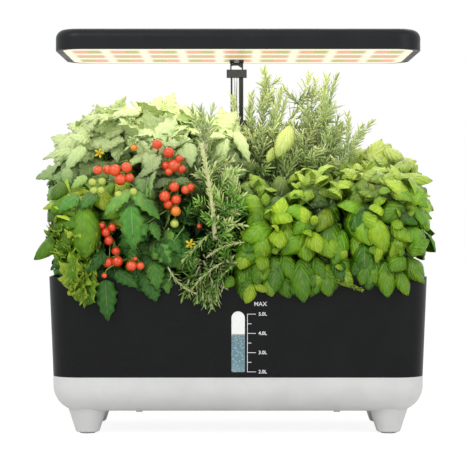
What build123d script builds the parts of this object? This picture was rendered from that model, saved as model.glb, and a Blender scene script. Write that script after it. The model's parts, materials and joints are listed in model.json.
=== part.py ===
from build123d import *

import os

# Countertop hydroponic garden: a two-tone water tank on four feet, a lift-off grow
# deck with twelve planted pods, and a grow lamp on a telescoping mast.
# Sizes are in millimetres. Z is up, the front faces -Y, and the origin is on the
# worktop, midway between the feet.

# --- Tank: white base, black shell, inner water tank -------------------------------
seam_length = 372.0  # outside length and depth where the shell meets the base
seam_depth = 162.0
seam_corner = 28.0  # plan radius of the tank's corners
base_bottom_z = 23.0
seam_z = 58.5
rim_z = 158.0
shell_lean = 4.0  # how far each shell wall leans out between seam and rim
base_rounding = 26.0
base_wall = 2.8
shell_wall = 2.5

tank_gap = 2.0  # air between the shell's wall at the seam and the water tank
tank_wall = 2.2
tank_rounding = 22.0
floor_gap = 0.7  # between the base's floor and the water tank's floor
flange_thickness = 2.2
ledge_width = 3.2  # ledge inside the shell that carries the tank's flange
ledge_height = 3.6
seat_gap = 0.2  # left between flat faces that rest on each other

# --- Feet ---------------------------------------------------------------------------
foot_x = 152.0
foot_y = 47.0
foot_top_radius = 20.6
foot_tip_radius = 11.6
foot_tip_fillet = 3.0
foot_wall = 2.6
foot_root = 5.0  # how far each foot's cone reaches up into the base
pad_radius = 7.6
pad_thickness = 2.2
pad_proud = 1.0  # how far each rubber pad stands out of its foot

# --- Base screws --------------------------------------------------------------------
screw_x = 100.0
screw_y = 45.0
screw_radius = 1.5
screw_head_radius = 3.2
screw_head_height = 2.0
screw_slot_width = 1.1
screw_length = 9.0
small_head_radius = 2.6
screw_boss_radius = 4.2
thread_gap = 0.03

# --- Water-level window -------------------------------------------------------------
window_width = 13.5
window_low_z = 63.9
window_high_z = 124.6
window_foot_radius = 1.5
window_inset = 0.3  # the lens lies this far behind the shell's face
lens_gap = 0.12
lens_flange = 2.6
gasket_thickness = 0.9
gasket_width = 3.0

# --- Grow deck ----------------------------------------------------------------------
deck_recess = 5.0  # how far the deck's top lies below the rim
deck_thickness = 2.8
deck_gap = 0.6
skirt_height = 12.0
skirt_wall = 1.8
skirt_gap = 0.4

pod_pitch_x = 54.0
pod_pitch_y = 76.0
pod_columns = 6
pod_hole_radius = 16.5

# --- Grow baskets and sponges ---------------------------------------------------------
basket_gap = 0.4
basket_wall = 1.4
basket_depth = 55.0
basket_foot_radius = 12.0
basket_flange_radius = 20.0
basket_flange_thickness = 1.6
basket_slots = 6
basket_slot_width = 3.2
basket_slot_drop = 24.75  # from the flange to the top of the slots
sponge_gap = 0.3
sponge_length = 34.0

# --- Fill port ------------------------------------------------------------------------
port_length = 16.0
port_depth = 30.0
port_edge_gap = 2.6  # from the port to the deck's skirt
lid_overlap = 2.0
lid_thickness = 2.0
lid_pin_radius = 1.0
lid_pin_gap = 0.06
knuckle_radius = 2.3
knuckle_length = 17.0
ear_width = 4.0
ear_gap = 0.4
lid_swing_gap = 0.5

# --- Pump -----------------------------------------------------------------------------
pump_floor_gap = 6.0
pump_height = 30.0
pump_depth = 32.0
pump_motor_length = 26.0
pump_corner = 3.0
chamber_radius = 12.0
chamber_length = 10.4
rotor_radius = 6.5
rotor_length = 16.0
rotor_gap = 0.5
rotor_shaft_radius = 1.0
shaft_gap = 0.05
shaft_seat = 1.6
impeller_disc = 1.4
impeller_blades = 5
impeller_blade_thickness = 1.1
blade_gap = 1.5
blade_step = 0.3
cover_thickness = 3.0
inlet_slots = 5
inlet_slot_width = 1.8
inlet_slot_pitch = 3.4
spigot_radius = 4.8
spigot_bore_radius = 3.2
spigot_length = 9.0
riser_wall = 1.7
riser_gap = 0.05
outlet_radius = 9.0
outlet_height = 5.0
outlet_port_radius = 0.7
lead_radius = 1.8
lead_x = -22.0
lead_inset = 7.3  # from the water tank's rear wall to the lead
lead_rise = 16.0
lead_crossing_z = 88.0

# --- Control box ----------------------------------------------------------------------
box_length = 84.0
box_depth = 17.6
box_height = 17.0
box_wall = 1.8
box_corner = 3.0
box_rear_gap = 1.6  # from the box to the deck's rear edge
board_length = 24.0
board_depth = 12.6
board_thickness = 1.2
board_height = 6.0
standoff_radius = 1.5
standoff_inset_x = 3.0
standoff_inset_y = 2.0
light_button_x = -34.0
pump_button_x = -21.5
button_radius = 4.0
button_gap = 0.3
button_travel = 0.8
button_proud = 1.4
button_lip = 0.8
button_lip_thickness = 1.0
switch_size = 5.0
inlet_x = 30.0
inlet_lift = 10.2  # height of the power inlet's axis above the deck
inlet_barrel_radius = 4.6
inlet_bore_radius = 3.2
inlet_length = 11.0
inlet_flange_radius = 5.6
inlet_flange_thickness = 1.0
inlet_floor = 2.0
inlet_pin_radius = 1.0

# --- Mast -----------------------------------------------------------------------------
mast_x = -1.1
mast_inset = 5.7  # from the control box's rear face to the mast's middle
column_length = 26.0
column_depth = 12.0
column_corner = 4.0
column_top_z = 322.0
column_foot = 6.0  # height of the solid foot under the rods' bores
column_toe = 3.8  # how far the foot reaches forward for its screws
column_screw_x = 8.0
column_screw_inset = 2.4
column_rounding = 1.5
rod_low_z = 186.0
rod_gap = 0.06
thin_rod_x = -5.5
thin_rod_radius = 1.0
steel_rod_x = -1.1
steel_rod_radius = 1.7
lead_tube_x = 4.8
lead_tube_radius = 2.4
lead_tube_bore = 1.4
lamp_lead_radius = 1.1

knob_drop = 12.0  # from the column's top to the knob's axis
knob_radius = 8.0
knob_length = 9.0
knob_lobes = 8
knob_lobe_radius = 1.6
knob_lobe_lift = 0.4
knob_rounding = 1.2
knob_stud_radius = 2.0
knob_gap = 0.5

# --- Collar and yoke --------------------------------------------------------------------
collar_low_z = 368.0
collar_height = 8.3
collar_length = 21.7
collar_depth = 11.0
collar_corner = 1.2
rod_seat = 6.0  # how far each rod enters the collar
yoke_width = 14.0
yoke_depth = 6.0
yoke_leg = 1.5
yoke_arch_height = 6.3
yoke_brace = 4.2
tilt_pin_radius = 1.5
tilt_pin_gap = 0.05
knuckle_half = 4.2
tilt_knuckle_radius = 3.8
cheek_gap = 0.4
cheek_thickness = 2.0
knuckle_gap = 1.8

# --- Lamp -------------------------------------------------------------------------------
lamp_length = 365.0
lamp_rear_margin = 10.0  # from the mast's middle to the lamp's rear edge
lamp_corner = 25.0
lamp_low_z = 384.0
lamp_height = 21.0
lamp_rounding = 9.0
lamp_roof = 3.0
lamp_end_bezel = 7.0
lamp_front_bezel = 2.4
cover_gap = 0.25
cover_sheet = 1.6
led_board_thickness = 1.6
led_thickness = 0.8
led_columns = 9
led_rows = 3
led_pitch_x = 38.0
led_pitch_y = 50.0
led_length = 17.0
led_depth = 15.0
bracket_length = 14.4
bracket_reach = 39.0  # how far the bracket reaches in front of the mast
bracket_rear = 5.6  # how far the bracket reaches behind the tilt axis
bracket_thickness = 1.6
bracket_gap = 0.4
tilt_lift = 4.5  # height of the tilt axis above the lamp's underside
bracket_boss_radius = 3.4
bracket_boss_pitch = 16.0
bracket_boss_margin = 3.0

# --- Plants -----------------------------------------------------------------------------
crown_z = 166.0  # underside of the leaf crowns
crown_over_lid_z = 182.0  # underside of the crowns that the fill lid opens under
stem_radius = 6.0
stem_spread = 13.0
crown_gap = 1.2
crown_reach_x = {"front": (-205.0, 190.0), "rear": (-205.0, 205.0)}
crown_reach_y = 100.0
crown_mast_gap = 1.1  # from the control box to the crowns beside the mast
crown_corner = 24.0
# Height of each crown where it is widest, where it starts to close, and at its top;
# then how far each of its four sides has drawn in at the top: -X, +X, -Y, +Y.
crowns = {
    ("front", 0): ("lettuce", 200.0, 228.0, 250.0, (30.0, 6.0, 34.0, 0.0)),
    ("front", 1): ("tomato", 230.0, 280.0, 312.0, (4.0, 4.0, 40.0, 0.0)),
    ("front", 2): ("rosemary", 225.0, 262.0, 300.0, (6.0, 4.0, 44.0, 0.0)),
    ("front", 3): ("basil", 212.0, 240.0, 260.0, (4.0, 4.0, 40.0, 0.0)),
    ("front", 4): ("basil", 214.0, 242.0, 264.0, (4.0, 4.0, 40.0, 0.0)),
    ("front", 5): ("basil", 222.0, 250.0, 270.0, (4.0, 26.0, 36.0, 0.0)),
    ("rear", 0): ("tomato", 262.0, 300.0, 338.0, (50.0, 4.0, 0.0, 40.0)),
    ("rear", 1): ("tomato", 250.0, 310.0, 338.0, (4.0, 4.0, 0.0, 44.0)),
    ("rear", 2): ("tomato", 250.0, 312.0, 338.0, (4.0, 4.0, 0.0, 20.0)),
    ("rear", 3): ("rosemary", 260.0, 320.0, 368.0, (14.0, 12.0, 14.0, 20.0)),
    ("rear", 4): ("rosemary", 260.0, 318.0, 366.0, (12.0, 12.0, 14.0, 48.0)),
    ("rear", 5): ("basil", 236.0, 272.0, 304.0, (4.0, 48.0, 0.0, 44.0)),
}
# Lowest point of the leaves that hang over the rim in front of or behind a crown.
hang_low_z = {"front": [118.0, 134.0, 143.0, 134.0, 132.0, 140.0], "rear": [150.0] * pod_columns}
hang_inset = 6.0
hang_taper = 0.25
rim_clearance = 2.5
crown_foot_share = 0.12  # share of the top's draw that the underside has
crown_closing_share = 0.3

# --- Places that follow from the sizes above ----------------------------------------------
lean_per_mm = shell_lean / (rim_z - seam_z)
deck_z = rim_z - deck_recess
deck_low_z = deck_z - deck_thickness
flange_z = deck_low_z - seat_gap
ledge_z = flange_z - flange_thickness - seat_gap
tank_floor_z = base_bottom_z + base_wall + floor_gap
tank_length = seam_length - 2 * (shell_wall + tank_gap)
tank_depth = seam_depth - 2 * (shell_wall + tank_gap)
tank_corner = seam_corner - shell_wall - tank_gap
tank_front_y = -tank_depth / 2
lead_y = tank_depth / 2 - tank_wall - lead_inset
lens_flange_thickness = tank_gap - gasket_thickness - seat_gap
skirt_inset = shell_wall + tank_gap + tank_wall + skirt_gap
skirt_length = seam_length - 2 * skirt_inset
skirt_depth = seam_depth - 2 * skirt_inset
basket_top_radius = pod_hole_radius - basket_gap
basket_seat_z = deck_z + seat_gap
sponge_top_z = basket_seat_z + basket_flange_thickness
port_x = skirt_length / 2 - skirt_wall - port_edge_gap - port_length / 2
lid_low_z = deck_z + seat_gap
lid_pin_x = port_x + port_length / 2 + lid_overlap + knuckle_radius + lid_swing_gap
lid_pin_z = lid_low_z + knuckle_radius + lid_swing_gap
pump_low_z = tank_floor_z + tank_wall + pump_floor_gap
pump_axis_z = pump_low_z + pump_height / 2
pump_top_z = pump_low_z + pump_height
box_rear_y = seam_depth / 2 + lean_per_mm * (deck_z - seam_z) - shell_wall - box_rear_gap
box_y = box_rear_y - box_depth / 2
mast_y = box_rear_y - mast_inset
lamp_depth = 2 * (mast_y + lamp_rear_margin)
bracket_front_y = mast_y - bracket_reach
crown_mast_y = box_rear_y - box_depth - crown_mast_gap
box_low_z = deck_z + seat_gap
box_top_z = box_low_z + box_height
board_low_z = deck_z + board_height
board_top_z = board_low_z + board_thickness
inlet_z = deck_z + inlet_lift
button_lip_z = box_top_z - box_wall - seat_gap
knob_z = column_top_z - knob_drop
column_rear_y = mast_y + column_depth / 2
column_screw_y = mast_y - column_depth / 2 - column_toe + column_screw_inset
collar_top_z = collar_low_z + collar_height
arch_z = collar_top_z + yoke_arch_height
tilt_z = lamp_low_z + tilt_lift
cover_top_z = lamp_low_z + cover_sheet
led_low_z = cover_top_z + seat_gap
led_board_low_z = led_low_z + led_thickness
rods = {
    "thin": (thin_rod_x, thin_rod_radius),
    "steel": (steel_rod_x, steel_rod_radius),
    "tube": (lead_tube_x, lead_tube_radius),
}
pod_x = [pod_pitch_x * (i - (pod_columns - 1) / 2) for i in range(pod_columns)]
pod_y = {"front": -pod_pitch_y / 2, "rear": pod_pitch_y / 2}


# --- Shapes used by several pieces ----------------------------------------------------------
def slab(length, depth, corner, low, high):
    """A block with rounded plan corners between two heights."""
    return Pos(0, 0, low) * extrude(RectangleRounded(length, depth, corner), high - low)


def pan(length, depth, corner, low, high, rounding):
    """A slab whose lower edge is rounded, as on a moulded basin."""
    block = slab(length, depth, corner, low, high)
    radius = min(rounding, corner - 0.8, high - low - 0.8)
    return fillet(block.edges().group_by(Axis.Z)[0], radius)


def leaning_block(low, high, inset):
    """The shell's outer form between two heights, set in from its outer face."""
    sections = []
    for z in (low, high):
        grow = lean_per_mm * (z - seam_z) - inset
        outline = RectangleRounded(
            seam_length + 2 * grow, seam_depth + 2 * grow, seam_corner + grow
        )
        sections.append(Pos(0, 0, z) * outline)
    return loft(sections, ruled=True)


def block(low, high):
    """A box from its lowest corner to its highest."""
    size = [b - a for a, b in zip(low, high)]
    middle = [(a + b) / 2 for a, b in zip(low, high)]
    return Pos(*middle) * Box(*size)


def post(x, y, low, high, radius):
    """An upright cylinder between two heights."""
    return Pos(x, y, (low + high) / 2) * Cylinder(radius, high - low)


def rod_along_x(y, z, low, high, radius):
    """A cylinder along X between two places."""
    return Pos((low + high) / 2, y, z) * Rot(0, 90, 0) * Cylinder(radius, high - low)


def rod_along_y(x, z, low, high, radius):
    """A cylinder along Y between two places."""
    return Pos(x, (low + high) / 2, z) * Rot(90, 0, 0) * Cylinder(radius, high - low)


def turned(points):
    """A solid turned about Z from (radius, z) points."""
    corners = [(radius, 0, z) for radius, z in points]
    return revolve(make_face(Polyline(*corners, close=True)), Axis.Z)


def window_prism(grow, front_y, back_y):
    """The window's outline, round at the top, as a prism along Y."""
    half = window_width / 2 + grow
    low = window_low_z - grow
    high = window_high_z + grow
    body = block((-half, front_y, low), (half, back_y, high - half))
    foot = body.edges().filter_by(Axis.Y).group_by(Axis.Z)[0]
    body = fillet(foot, window_foot_radius)
    return body + rod_along_y(0, high - half, front_y, back_y, half)


# --- Tank ---------------------------------------------------------------------------------
def foot_form(inset, low):
    """A foot's cone, or the hollow in it when it is set in by a wall."""
    top = base_bottom_z + foot_root
    tip = foot_tip_radius - inset
    cone = turned([(0, low), (tip, low), (foot_top_radius - inset, top), (0, top)])
    if inset == 0:
        cone = fillet(cone.edges().group_by(Axis.Z)[0], foot_tip_fillet)
    return cone


def foot_places():
    return [Pos(x, y, 0) for x in (-foot_x, foot_x) for y in (-foot_y, foot_y)]


def screw_places():
    return [(x, y) for x in (-screw_x, screw_x) for y in (-screw_y, screw_y)]


def make_base_shell():
    shell = pan(seam_length, seam_depth, seam_corner, base_bottom_z, seam_z, base_rounding)
    cone = foot_form(0, pad_proud)
    cone -= post(0, 0, 0, pad_thickness, pad_radius + thread_gap)
    hollow = foot_form(foot_wall, pad_thickness + foot_wall)
    for place in foot_places():
        shell += place * cone
    shell -= pan(
        seam_length - 2 * base_wall,
        seam_depth - 2 * base_wall,
        seam_corner - base_wall,
        base_bottom_z + base_wall,
        seam_z + base_wall,
        base_rounding - base_wall,
    )
    for place in foot_places():
        shell -= place * hollow
    for x, y in screw_places():
        shell -= post(x, y, 0, tank_floor_z, screw_radius + seat_gap)
    return shell


def make_foot_pads():
    return [place * post(0, 0, 0, pad_thickness, pad_radius) for place in foot_places()]


def make_outer_shell():
    shell = leaning_block(seam_z, rim_z, 0)
    shell -= leaning_block(seam_z - shell_wall, rim_z + shell_wall, shell_wall)
    ledge = leaning_block(ledge_z - ledge_height, ledge_z, shell_wall / 2)
    ledge -= leaning_block(
        ledge_z - 2 * ledge_height, ledge_z + ledge_height, shell_wall + ledge_width
    )
    shell += ledge
    return shell - window_prism(0, -seam_depth, 0)


def make_water_tank():
    tank = pan(
        tank_length, tank_depth, tank_corner, tank_floor_z, flange_z, tank_rounding
    )
    rim_grow = lean_per_mm * (flange_z - seam_z) - shell_wall - deck_gap
    tank += slab(
        seam_length + 2 * rim_grow,
        seam_depth + 2 * rim_grow,
        seam_corner + rim_grow,
        flange_z - flange_thickness,
        flange_z,
    )
    tank -= pan(
        tank_length - 2 * tank_wall,
        tank_depth - 2 * tank_wall,
        tank_corner - tank_wall,
        tank_floor_z + tank_wall,
        flange_z + tank_wall,
        tank_rounding - tank_wall,
    )
    boss_top_z = base_bottom_z + screw_length + tank_wall
    for x, y in screw_places():
        tank += post(x, y, tank_floor_z, boss_top_z, screw_boss_radius)
    for x, y in screw_places():
        tank -= post(x, y, 0, boss_top_z - tank_wall, screw_radius + thread_gap)
    return tank - window_prism(-gasket_width, -seam_depth, 0)


def make_base_screws():
    screws = []
    for x, y in screw_places():
        head_low_z = base_bottom_z - seat_gap - screw_head_height
        head = post(x, y, head_low_z, head_low_z + screw_head_height, screw_head_radius)
        slot = block(
            (x - screw_head_radius, y - screw_slot_width / 2, head_low_z - 1),
            (x + screw_head_radius, y + screw_slot_width / 2, head_low_z + screw_head_height / 2),
        )
        shank = post(x, y, head_low_z + 1, base_bottom_z + screw_length - 1, screw_radius)
        screws.append(head - slot + shank)
    return screws


def make_level_window():
    flange_back_y = tank_front_y - gasket_thickness
    flange_front_y = flange_back_y - lens_flange_thickness
    lens = window_prism(-lens_gap, -seam_depth, flange_back_y)
    lens = lens & leaning_block(seam_z, rim_z, window_inset)
    return lens + window_prism(lens_flange / 2, flange_front_y, flange_back_y)


def make_window_gasket():
    outer = window_prism(lens_flange / 2, tank_front_y - gasket_thickness, tank_front_y)
    return outer - window_prism(-gasket_width, -seam_depth, 0)


# --- Deck -----------------------------------------------------------------------------------
def make_grow_deck():
    grow = lean_per_mm * (deck_z - seam_z) - shell_wall - deck_gap
    corner = seam_corner + grow
    deck = slab(seam_length + 2 * grow, seam_depth + 2 * grow, corner, deck_low_z, deck_z)
    skirt_corner = seam_corner - skirt_inset
    deck += slab(
        skirt_length, skirt_depth, skirt_corner, deck_low_z - skirt_height, deck_low_z
    ) - slab(
        skirt_length - 2 * skirt_wall,
        skirt_depth - 2 * skirt_wall,
        skirt_corner - skirt_wall,
        deck_low_z - skirt_height,
        deck_low_z,
    )
    for y in pod_y.values():
        for x in pod_x:
            deck -= post(x, y, deck_low_z - 1, deck_z + 1, pod_hole_radius)
    deck -= block(
        (port_x - port_length / 2, -port_depth / 2, deck_low_z - 1),
        (port_x + port_length / 2, port_depth / 2, deck_z + 1),
    )
    for side in (-1, 1):
        deck += make_hinge_ear(side)
    deck += post(0, 0, deck_low_z - spigot_length, deck_low_z, spigot_radius)
    deck -= post(0, 0, deck_low_z - 2 * spigot_length, deck_z + 1, spigot_bore_radius)
    deck -= post(lead_x, lead_y, deck_low_z - 1, deck_z + 1, lead_radius + seat_gap)
    for side in (-1, 1):
        x = mast_x + side * column_screw_x
        deck -= post(x, column_screw_y, deck_low_z - 1, deck_z + 1, screw_radius + seat_gap)
    for side in (-1, 1):
        x = (light_button_x + pump_button_x) / 2 + side * (board_length / 2 - standoff_inset_x)
        y = box_y + board_depth / 2 - standoff_inset_y
        deck += post(x, y, deck_z, board_low_z, standoff_radius)
    return deck


def make_hinge_ear(side):
    """One of the two ears that hold the fill lid's pin."""
    low_y = side * (knuckle_length / 2 + ear_gap)
    high_y = side * (knuckle_length / 2 + ear_gap + ear_width)
    low_y, high_y = sorted((low_y, high_y))
    ear = block(
        (lid_pin_x - knuckle_radius, low_y, deck_z - seat_gap),
        (lid_pin_x + knuckle_radius, high_y, lid_pin_z),
    )
    ear += rod_along_y(lid_pin_x, lid_pin_z, low_y, high_y, knuckle_radius)
    return ear - rod_along_y(
        lid_pin_x, lid_pin_z, low_y - 1, high_y + 1, lid_pin_radius + thread_gap
    )


def make_lid_hinge_pin():
    half = knuckle_length / 2 + ear_gap + ear_width
    return rod_along_y(lid_pin_x, lid_pin_z, -half, half, lid_pin_radius)


def make_fill_lid():
    low_x = port_x - port_length / 2 - lid_overlap
    lid = block(
        (low_x, -port_depth / 2 - lid_overlap, lid_low_z),
        (
            port_x + port_length / 2 + lid_overlap,
            port_depth / 2 + lid_overlap,
            lid_low_z + lid_thickness,
        ),
    )
    lid = fillet(lid.edges().filter_by(Axis.Z), lid_overlap)
    lid += block(
        (lid_pin_x - knuckle_radius - lid_overlap, -knuckle_length / 2, lid_low_z),
        (lid_pin_x, knuckle_length / 2, lid_low_z + lid_thickness),
    )
    lid += rod_along_y(
        lid_pin_x, lid_pin_z, -knuckle_length / 2, knuckle_length / 2, knuckle_radius
    )
    lid += block(
        (low_x - lid_overlap, -knuckle_length / 4, lid_low_z),
        (low_x + 1, knuckle_length / 4, lid_low_z + lid_thickness),
    )
    return lid - rod_along_y(
        lid_pin_x, lid_pin_z, -knuckle_length, knuckle_length, lid_pin_radius + lid_pin_gap
    )


def make_water_outlet():
    """The round cap in the middle of the deck where the pumped water comes out."""
    low_z = deck_z + seat_gap
    cap = post(0, 0, low_z, low_z + outlet_height, outlet_radius)
    cap = fillet(cap.edges().group_by(Axis.Z)[-1], outlet_height / 3)
    cap -= post(0, 0, low_z - 1, low_z + outlet_height / 2, spigot_bore_radius)
    port_z = low_z + outlet_height / 4
    cap -= rod_along_x(0, port_z, -2 * outlet_radius, 2 * outlet_radius, outlet_port_radius)
    return cap - rod_along_y(0, port_z, -2 * outlet_radius, 2 * outlet_radius, outlet_port_radius)


# --- Pump -----------------------------------------------------------------------------------
chamber_low_x = -chamber_length / 2
motor_low_x = chamber_low_x - pump_motor_length
shaft_low_x = chamber_low_x - rotor_length - rotor_gap - shaft_seat
cover_low_x = chamber_length / 2 + seat_gap


def make_pump_body():
    body = block(
        (motor_low_x, -pump_depth / 2, pump_low_z),
        (chamber_length / 2, pump_depth / 2, pump_top_z),
    )
    body = fillet(body.edges().filter_by(Axis.X), pump_corner)
    body += post(0, 0, pump_top_z - 1, pump_top_z + spigot_length, spigot_radius)
    body -= rod_along_x(0, pump_axis_z, chamber_low_x, chamber_length, chamber_radius)
    rotor_hole_x = chamber_low_x - rotor_length - rotor_gap
    body -= rod_along_x(0, pump_axis_z, rotor_hole_x, 0, rotor_radius + rotor_gap)
    body -= rod_along_x(0, pump_axis_z, shaft_low_x, 0, rotor_shaft_radius + thread_gap)
    return body - post(0, 0, pump_axis_z, pump_top_z + 2 * spigot_length, spigot_bore_radius)


def make_rotor_shaft():
    high_x = cover_low_x + shaft_seat
    return rod_along_x(0, pump_axis_z, shaft_low_x, high_x, rotor_shaft_radius)


def make_pump_impeller():
    """Magnet rotor, backing disc and straight blades, as one moulding on the shaft."""
    disc_low_x = chamber_low_x + rotor_gap
    rotor_low_x = disc_low_x - rotor_length
    blade_high_x = chamber_length / 2 - rotor_gap
    blade_tip = chamber_radius - blade_gap
    rotor = rod_along_x(0, pump_axis_z, rotor_low_x, disc_low_x, rotor_radius)
    rotor += rod_along_x(0, pump_axis_z, disc_low_x, disc_low_x + impeller_disc, blade_tip)
    rotor += rod_along_x(0, pump_axis_z, disc_low_x, blade_high_x, 3 * rotor_shaft_radius)
    half = impeller_blade_thickness / 2
    for i in range(impeller_blades):
        blade = block((disc_low_x, -half, 0), (blade_high_x, half, blade_tip - blade_step))
        rotor += Pos(0, 0, pump_axis_z) * Rot(360 / impeller_blades * i, 0, 0) * blade
    return rotor - rod_along_x(
        0, pump_axis_z, rotor_low_x - 1, blade_high_x + 1, rotor_shaft_radius + shaft_gap
    )


def make_pump_cover():
    """The strainer that closes the impeller's chamber."""
    cover = block(
        (cover_low_x, -pump_depth / 2, pump_low_z),
        (cover_low_x + cover_thickness, pump_depth / 2, pump_top_z),
    )
    cover = fillet(cover.edges().filter_by(Axis.X), pump_corner)
    for i in range(inlet_slots):
        y = inlet_slot_pitch * (i - (inlet_slots - 1) / 2)
        for side in (-1, 1):
            z = pump_axis_z + side * chamber_radius / 2
            cover -= Pos(cover_low_x, y, z) * Box(
                3 * cover_thickness, inlet_slot_width, chamber_radius / 2
            )
    return cover - rod_along_x(
        0, pump_axis_z, 0, cover_low_x + shaft_seat, rotor_shaft_radius + thread_gap
    )


def make_riser_tube():
    """The hose that carries the pumped water up to the deck."""
    low_z = pump_top_z + seat_gap
    high_z = deck_low_z - seat_gap
    tube = post(0, 0, low_z, high_z, spigot_radius + riser_gap + riser_wall)
    return tube - post(0, 0, low_z - 1, high_z + 1, spigot_radius + riser_gap)


def make_pump_lead():
    """The pump's lead: up, under the baskets to the rear, and up through the deck."""
    start_x = motor_low_x + 3 * lead_radius
    start_y = pump_depth / 4
    corner_z = pump_top_z + lead_rise
    points = [
        (start_x, start_y, pump_top_z),
        (start_x, start_y, corner_z),
        (lead_x, lead_y, lead_crossing_z),
        (lead_x, lead_y, board_low_z - seat_gap),
    ]
    path = FilletPolyline(*points, radius=4 * lead_radius)
    section = Plane(origin=path @ 0, z_dir=path % 0) * Circle(lead_radius)
    return sweep(section, path=path)


# --- Control box ------------------------------------------------------------------------------
def make_control_box():
    box = Pos(0, box_y, 0) * slab(box_length, box_depth, box_corner, box_low_z, box_top_z)
    box = fillet(box.edges().group_by(Axis.Z)[-1], box_corner / 3)
    box -= Pos(0, box_y, 0) * slab(
        box_length - 2 * box_wall,
        box_depth - 2 * box_wall,
        box_corner - box_wall,
        box_low_z - 1,
        box_top_z - box_wall,
    )
    column_hole = Pos(mast_x, mast_y, 0) * slab(
        column_length + 2 * seat_gap,
        column_depth + 2 * seat_gap,
        column_corner + seat_gap,
        box_low_z - 1,
        box_top_z + 1,
    )
    box -= column_hole
    for x in (light_button_x, pump_button_x):
        box -= post(x, box_y, box_top_z - 2 * box_wall, box_top_z + 1, button_radius + button_gap)
    return box - rod_along_y(
        inlet_x, inlet_z, box_y, box_rear_y + 1, inlet_barrel_radius + thread_gap
    )


def make_circuit_board():
    middle_x = (light_button_x + pump_button_x) / 2
    board = block(
        (middle_x - board_length / 2, box_y - board_depth / 2, board_low_z + seat_gap),
        (middle_x + board_length / 2, box_y + board_depth / 2, board_top_z + seat_gap),
    )
    switch_high_z = button_lip_z - button_lip_thickness - button_travel - seat_gap
    for x in (light_button_x, pump_button_x):
        board += block(
            (x - switch_size / 2, box_y - switch_size / 2, board_top_z),
            (x + switch_size / 2, box_y + switch_size / 2, switch_high_z),
        )
    return board


def make_button(x):
    cap = post(x, box_y, button_lip_z - seat_gap, box_top_z + button_proud, button_radius)
    cap = fillet(cap.edges().group_by(Axis.Z)[-1], button_lip)
    lip_low_z = button_lip_z - button_lip_thickness
    return cap + post(x, box_y, lip_low_z, button_lip_z, button_radius + button_lip)


def make_power_inlet():
    front_y = box_rear_y - inlet_length
    high_y = box_rear_y + inlet_flange_thickness + seat_gap
    barrel = rod_along_y(inlet_x, inlet_z, front_y, high_y, inlet_barrel_radius)
    barrel += rod_along_y(
        inlet_x, inlet_z, box_rear_y + seat_gap, high_y, inlet_flange_radius
    ) & block(
        (0, 0, rim_z + seat_gap), (box_length, 2 * box_rear_y, box_top_z + box_height)
    )
    barrel -= rod_along_y(
        inlet_x, inlet_z, front_y + inlet_floor, high_y + 1, inlet_bore_radius
    )
    return barrel + rod_along_y(
        inlet_x, inlet_z, front_y + inlet_floor / 2, high_y - 2, inlet_pin_radius
    )


# --- Mast -------------------------------------------------------------------------------------
def make_mast_column():
    low_z = deck_z + seat_gap
    column = Pos(mast_x, mast_y, 0) * slab(
        column_length, column_depth, column_corner, low_z, column_top_z
    )
    column = fillet(column.edges().group_by(Axis.Z)[-1], column_rounding)
    column += block(
        (mast_x - column_length / 2, mast_y - column_depth / 2 - column_toe, low_z),
        (mast_x + column_length / 2, mast_y, low_z + column_foot),
    )
    for x, radius in rods.values():
        column -= post(
            mast_x + x, mast_y, low_z + column_foot, column_top_z + 1, radius + rod_gap
        )
    column -= rod_along_y(
        mast_x, knob_z, mast_y, column_rear_y + 1, knob_stud_radius + shaft_gap
    )
    for side in (-1, 1):
        x = mast_x + side * column_screw_x
        column -= post(
            x, column_screw_y, low_z - 1, low_z + column_foot - 1, screw_radius + thread_gap
        )
    return column


def make_column_screws():
    screws = []
    for side in (-1, 1):
        x = mast_x + side * column_screw_x
        y = column_screw_y
        head_z = deck_low_z - seat_gap
        screw = post(x, y, head_z - screw_head_height, head_z, small_head_radius)
        screw += post(x, y, head_z - 1, deck_z + column_foot - 2, screw_radius)
        screws.append(screw)
    return screws


def make_height_knob():
    """The thumbscrew at the back of the column that clamps the rods."""
    low_y = column_rear_y + knob_gap
    high_y = low_y + knob_length
    knob = rod_along_y(mast_x, knob_z, low_y, high_y, knob_radius)
    knob = fillet(knob.edges().group_by(Axis.Y)[-1], knob_rounding)
    for i in range(knob_lobes):
        groove_x = knob_radius + knob_lobe_lift
        groove = rod_along_y(groove_x, 0, low_y - 1, high_y + 1, knob_lobe_radius)
        knob -= Pos(mast_x, 0, knob_z) * Rot(0, 360 / knob_lobes * i, 0) * groove
    stud_low_y = mast_y + steel_rod_radius + 2 * rod_gap
    return knob + rod_along_y(mast_x, knob_z, stud_low_y, low_y + 1, knob_stud_radius)


def make_rod(name):
    x, radius = rods[name]
    return post(mast_x + x, mast_y, rod_low_z, collar_low_z + rod_seat, radius)


def make_lead_tube():
    """The black tube and the lamp's lead that runs inside it."""
    x, radius = rods["tube"]
    low_z = rod_low_z
    high_z = collar_low_z + rod_seat
    tube = post(mast_x + x, mast_y, low_z, high_z, radius)
    tube -= post(mast_x + x, mast_y, low_z - 1, high_z + 1, lead_tube_bore)
    return [tube, post(mast_x + x, mast_y, low_z, high_z, lamp_lead_radius)]


def make_mast_collar():
    collar = Pos(mast_x, mast_y, 0) * slab(
        collar_length, collar_depth, collar_corner, collar_low_z, collar_top_z
    )
    for x, radius in rods.values():
        high_z = collar_low_z + rod_seat + thread_gap
        collar -= post(mast_x + x, mast_y, collar_low_z - 1, high_z, radius + thread_gap)
    return collar


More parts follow.
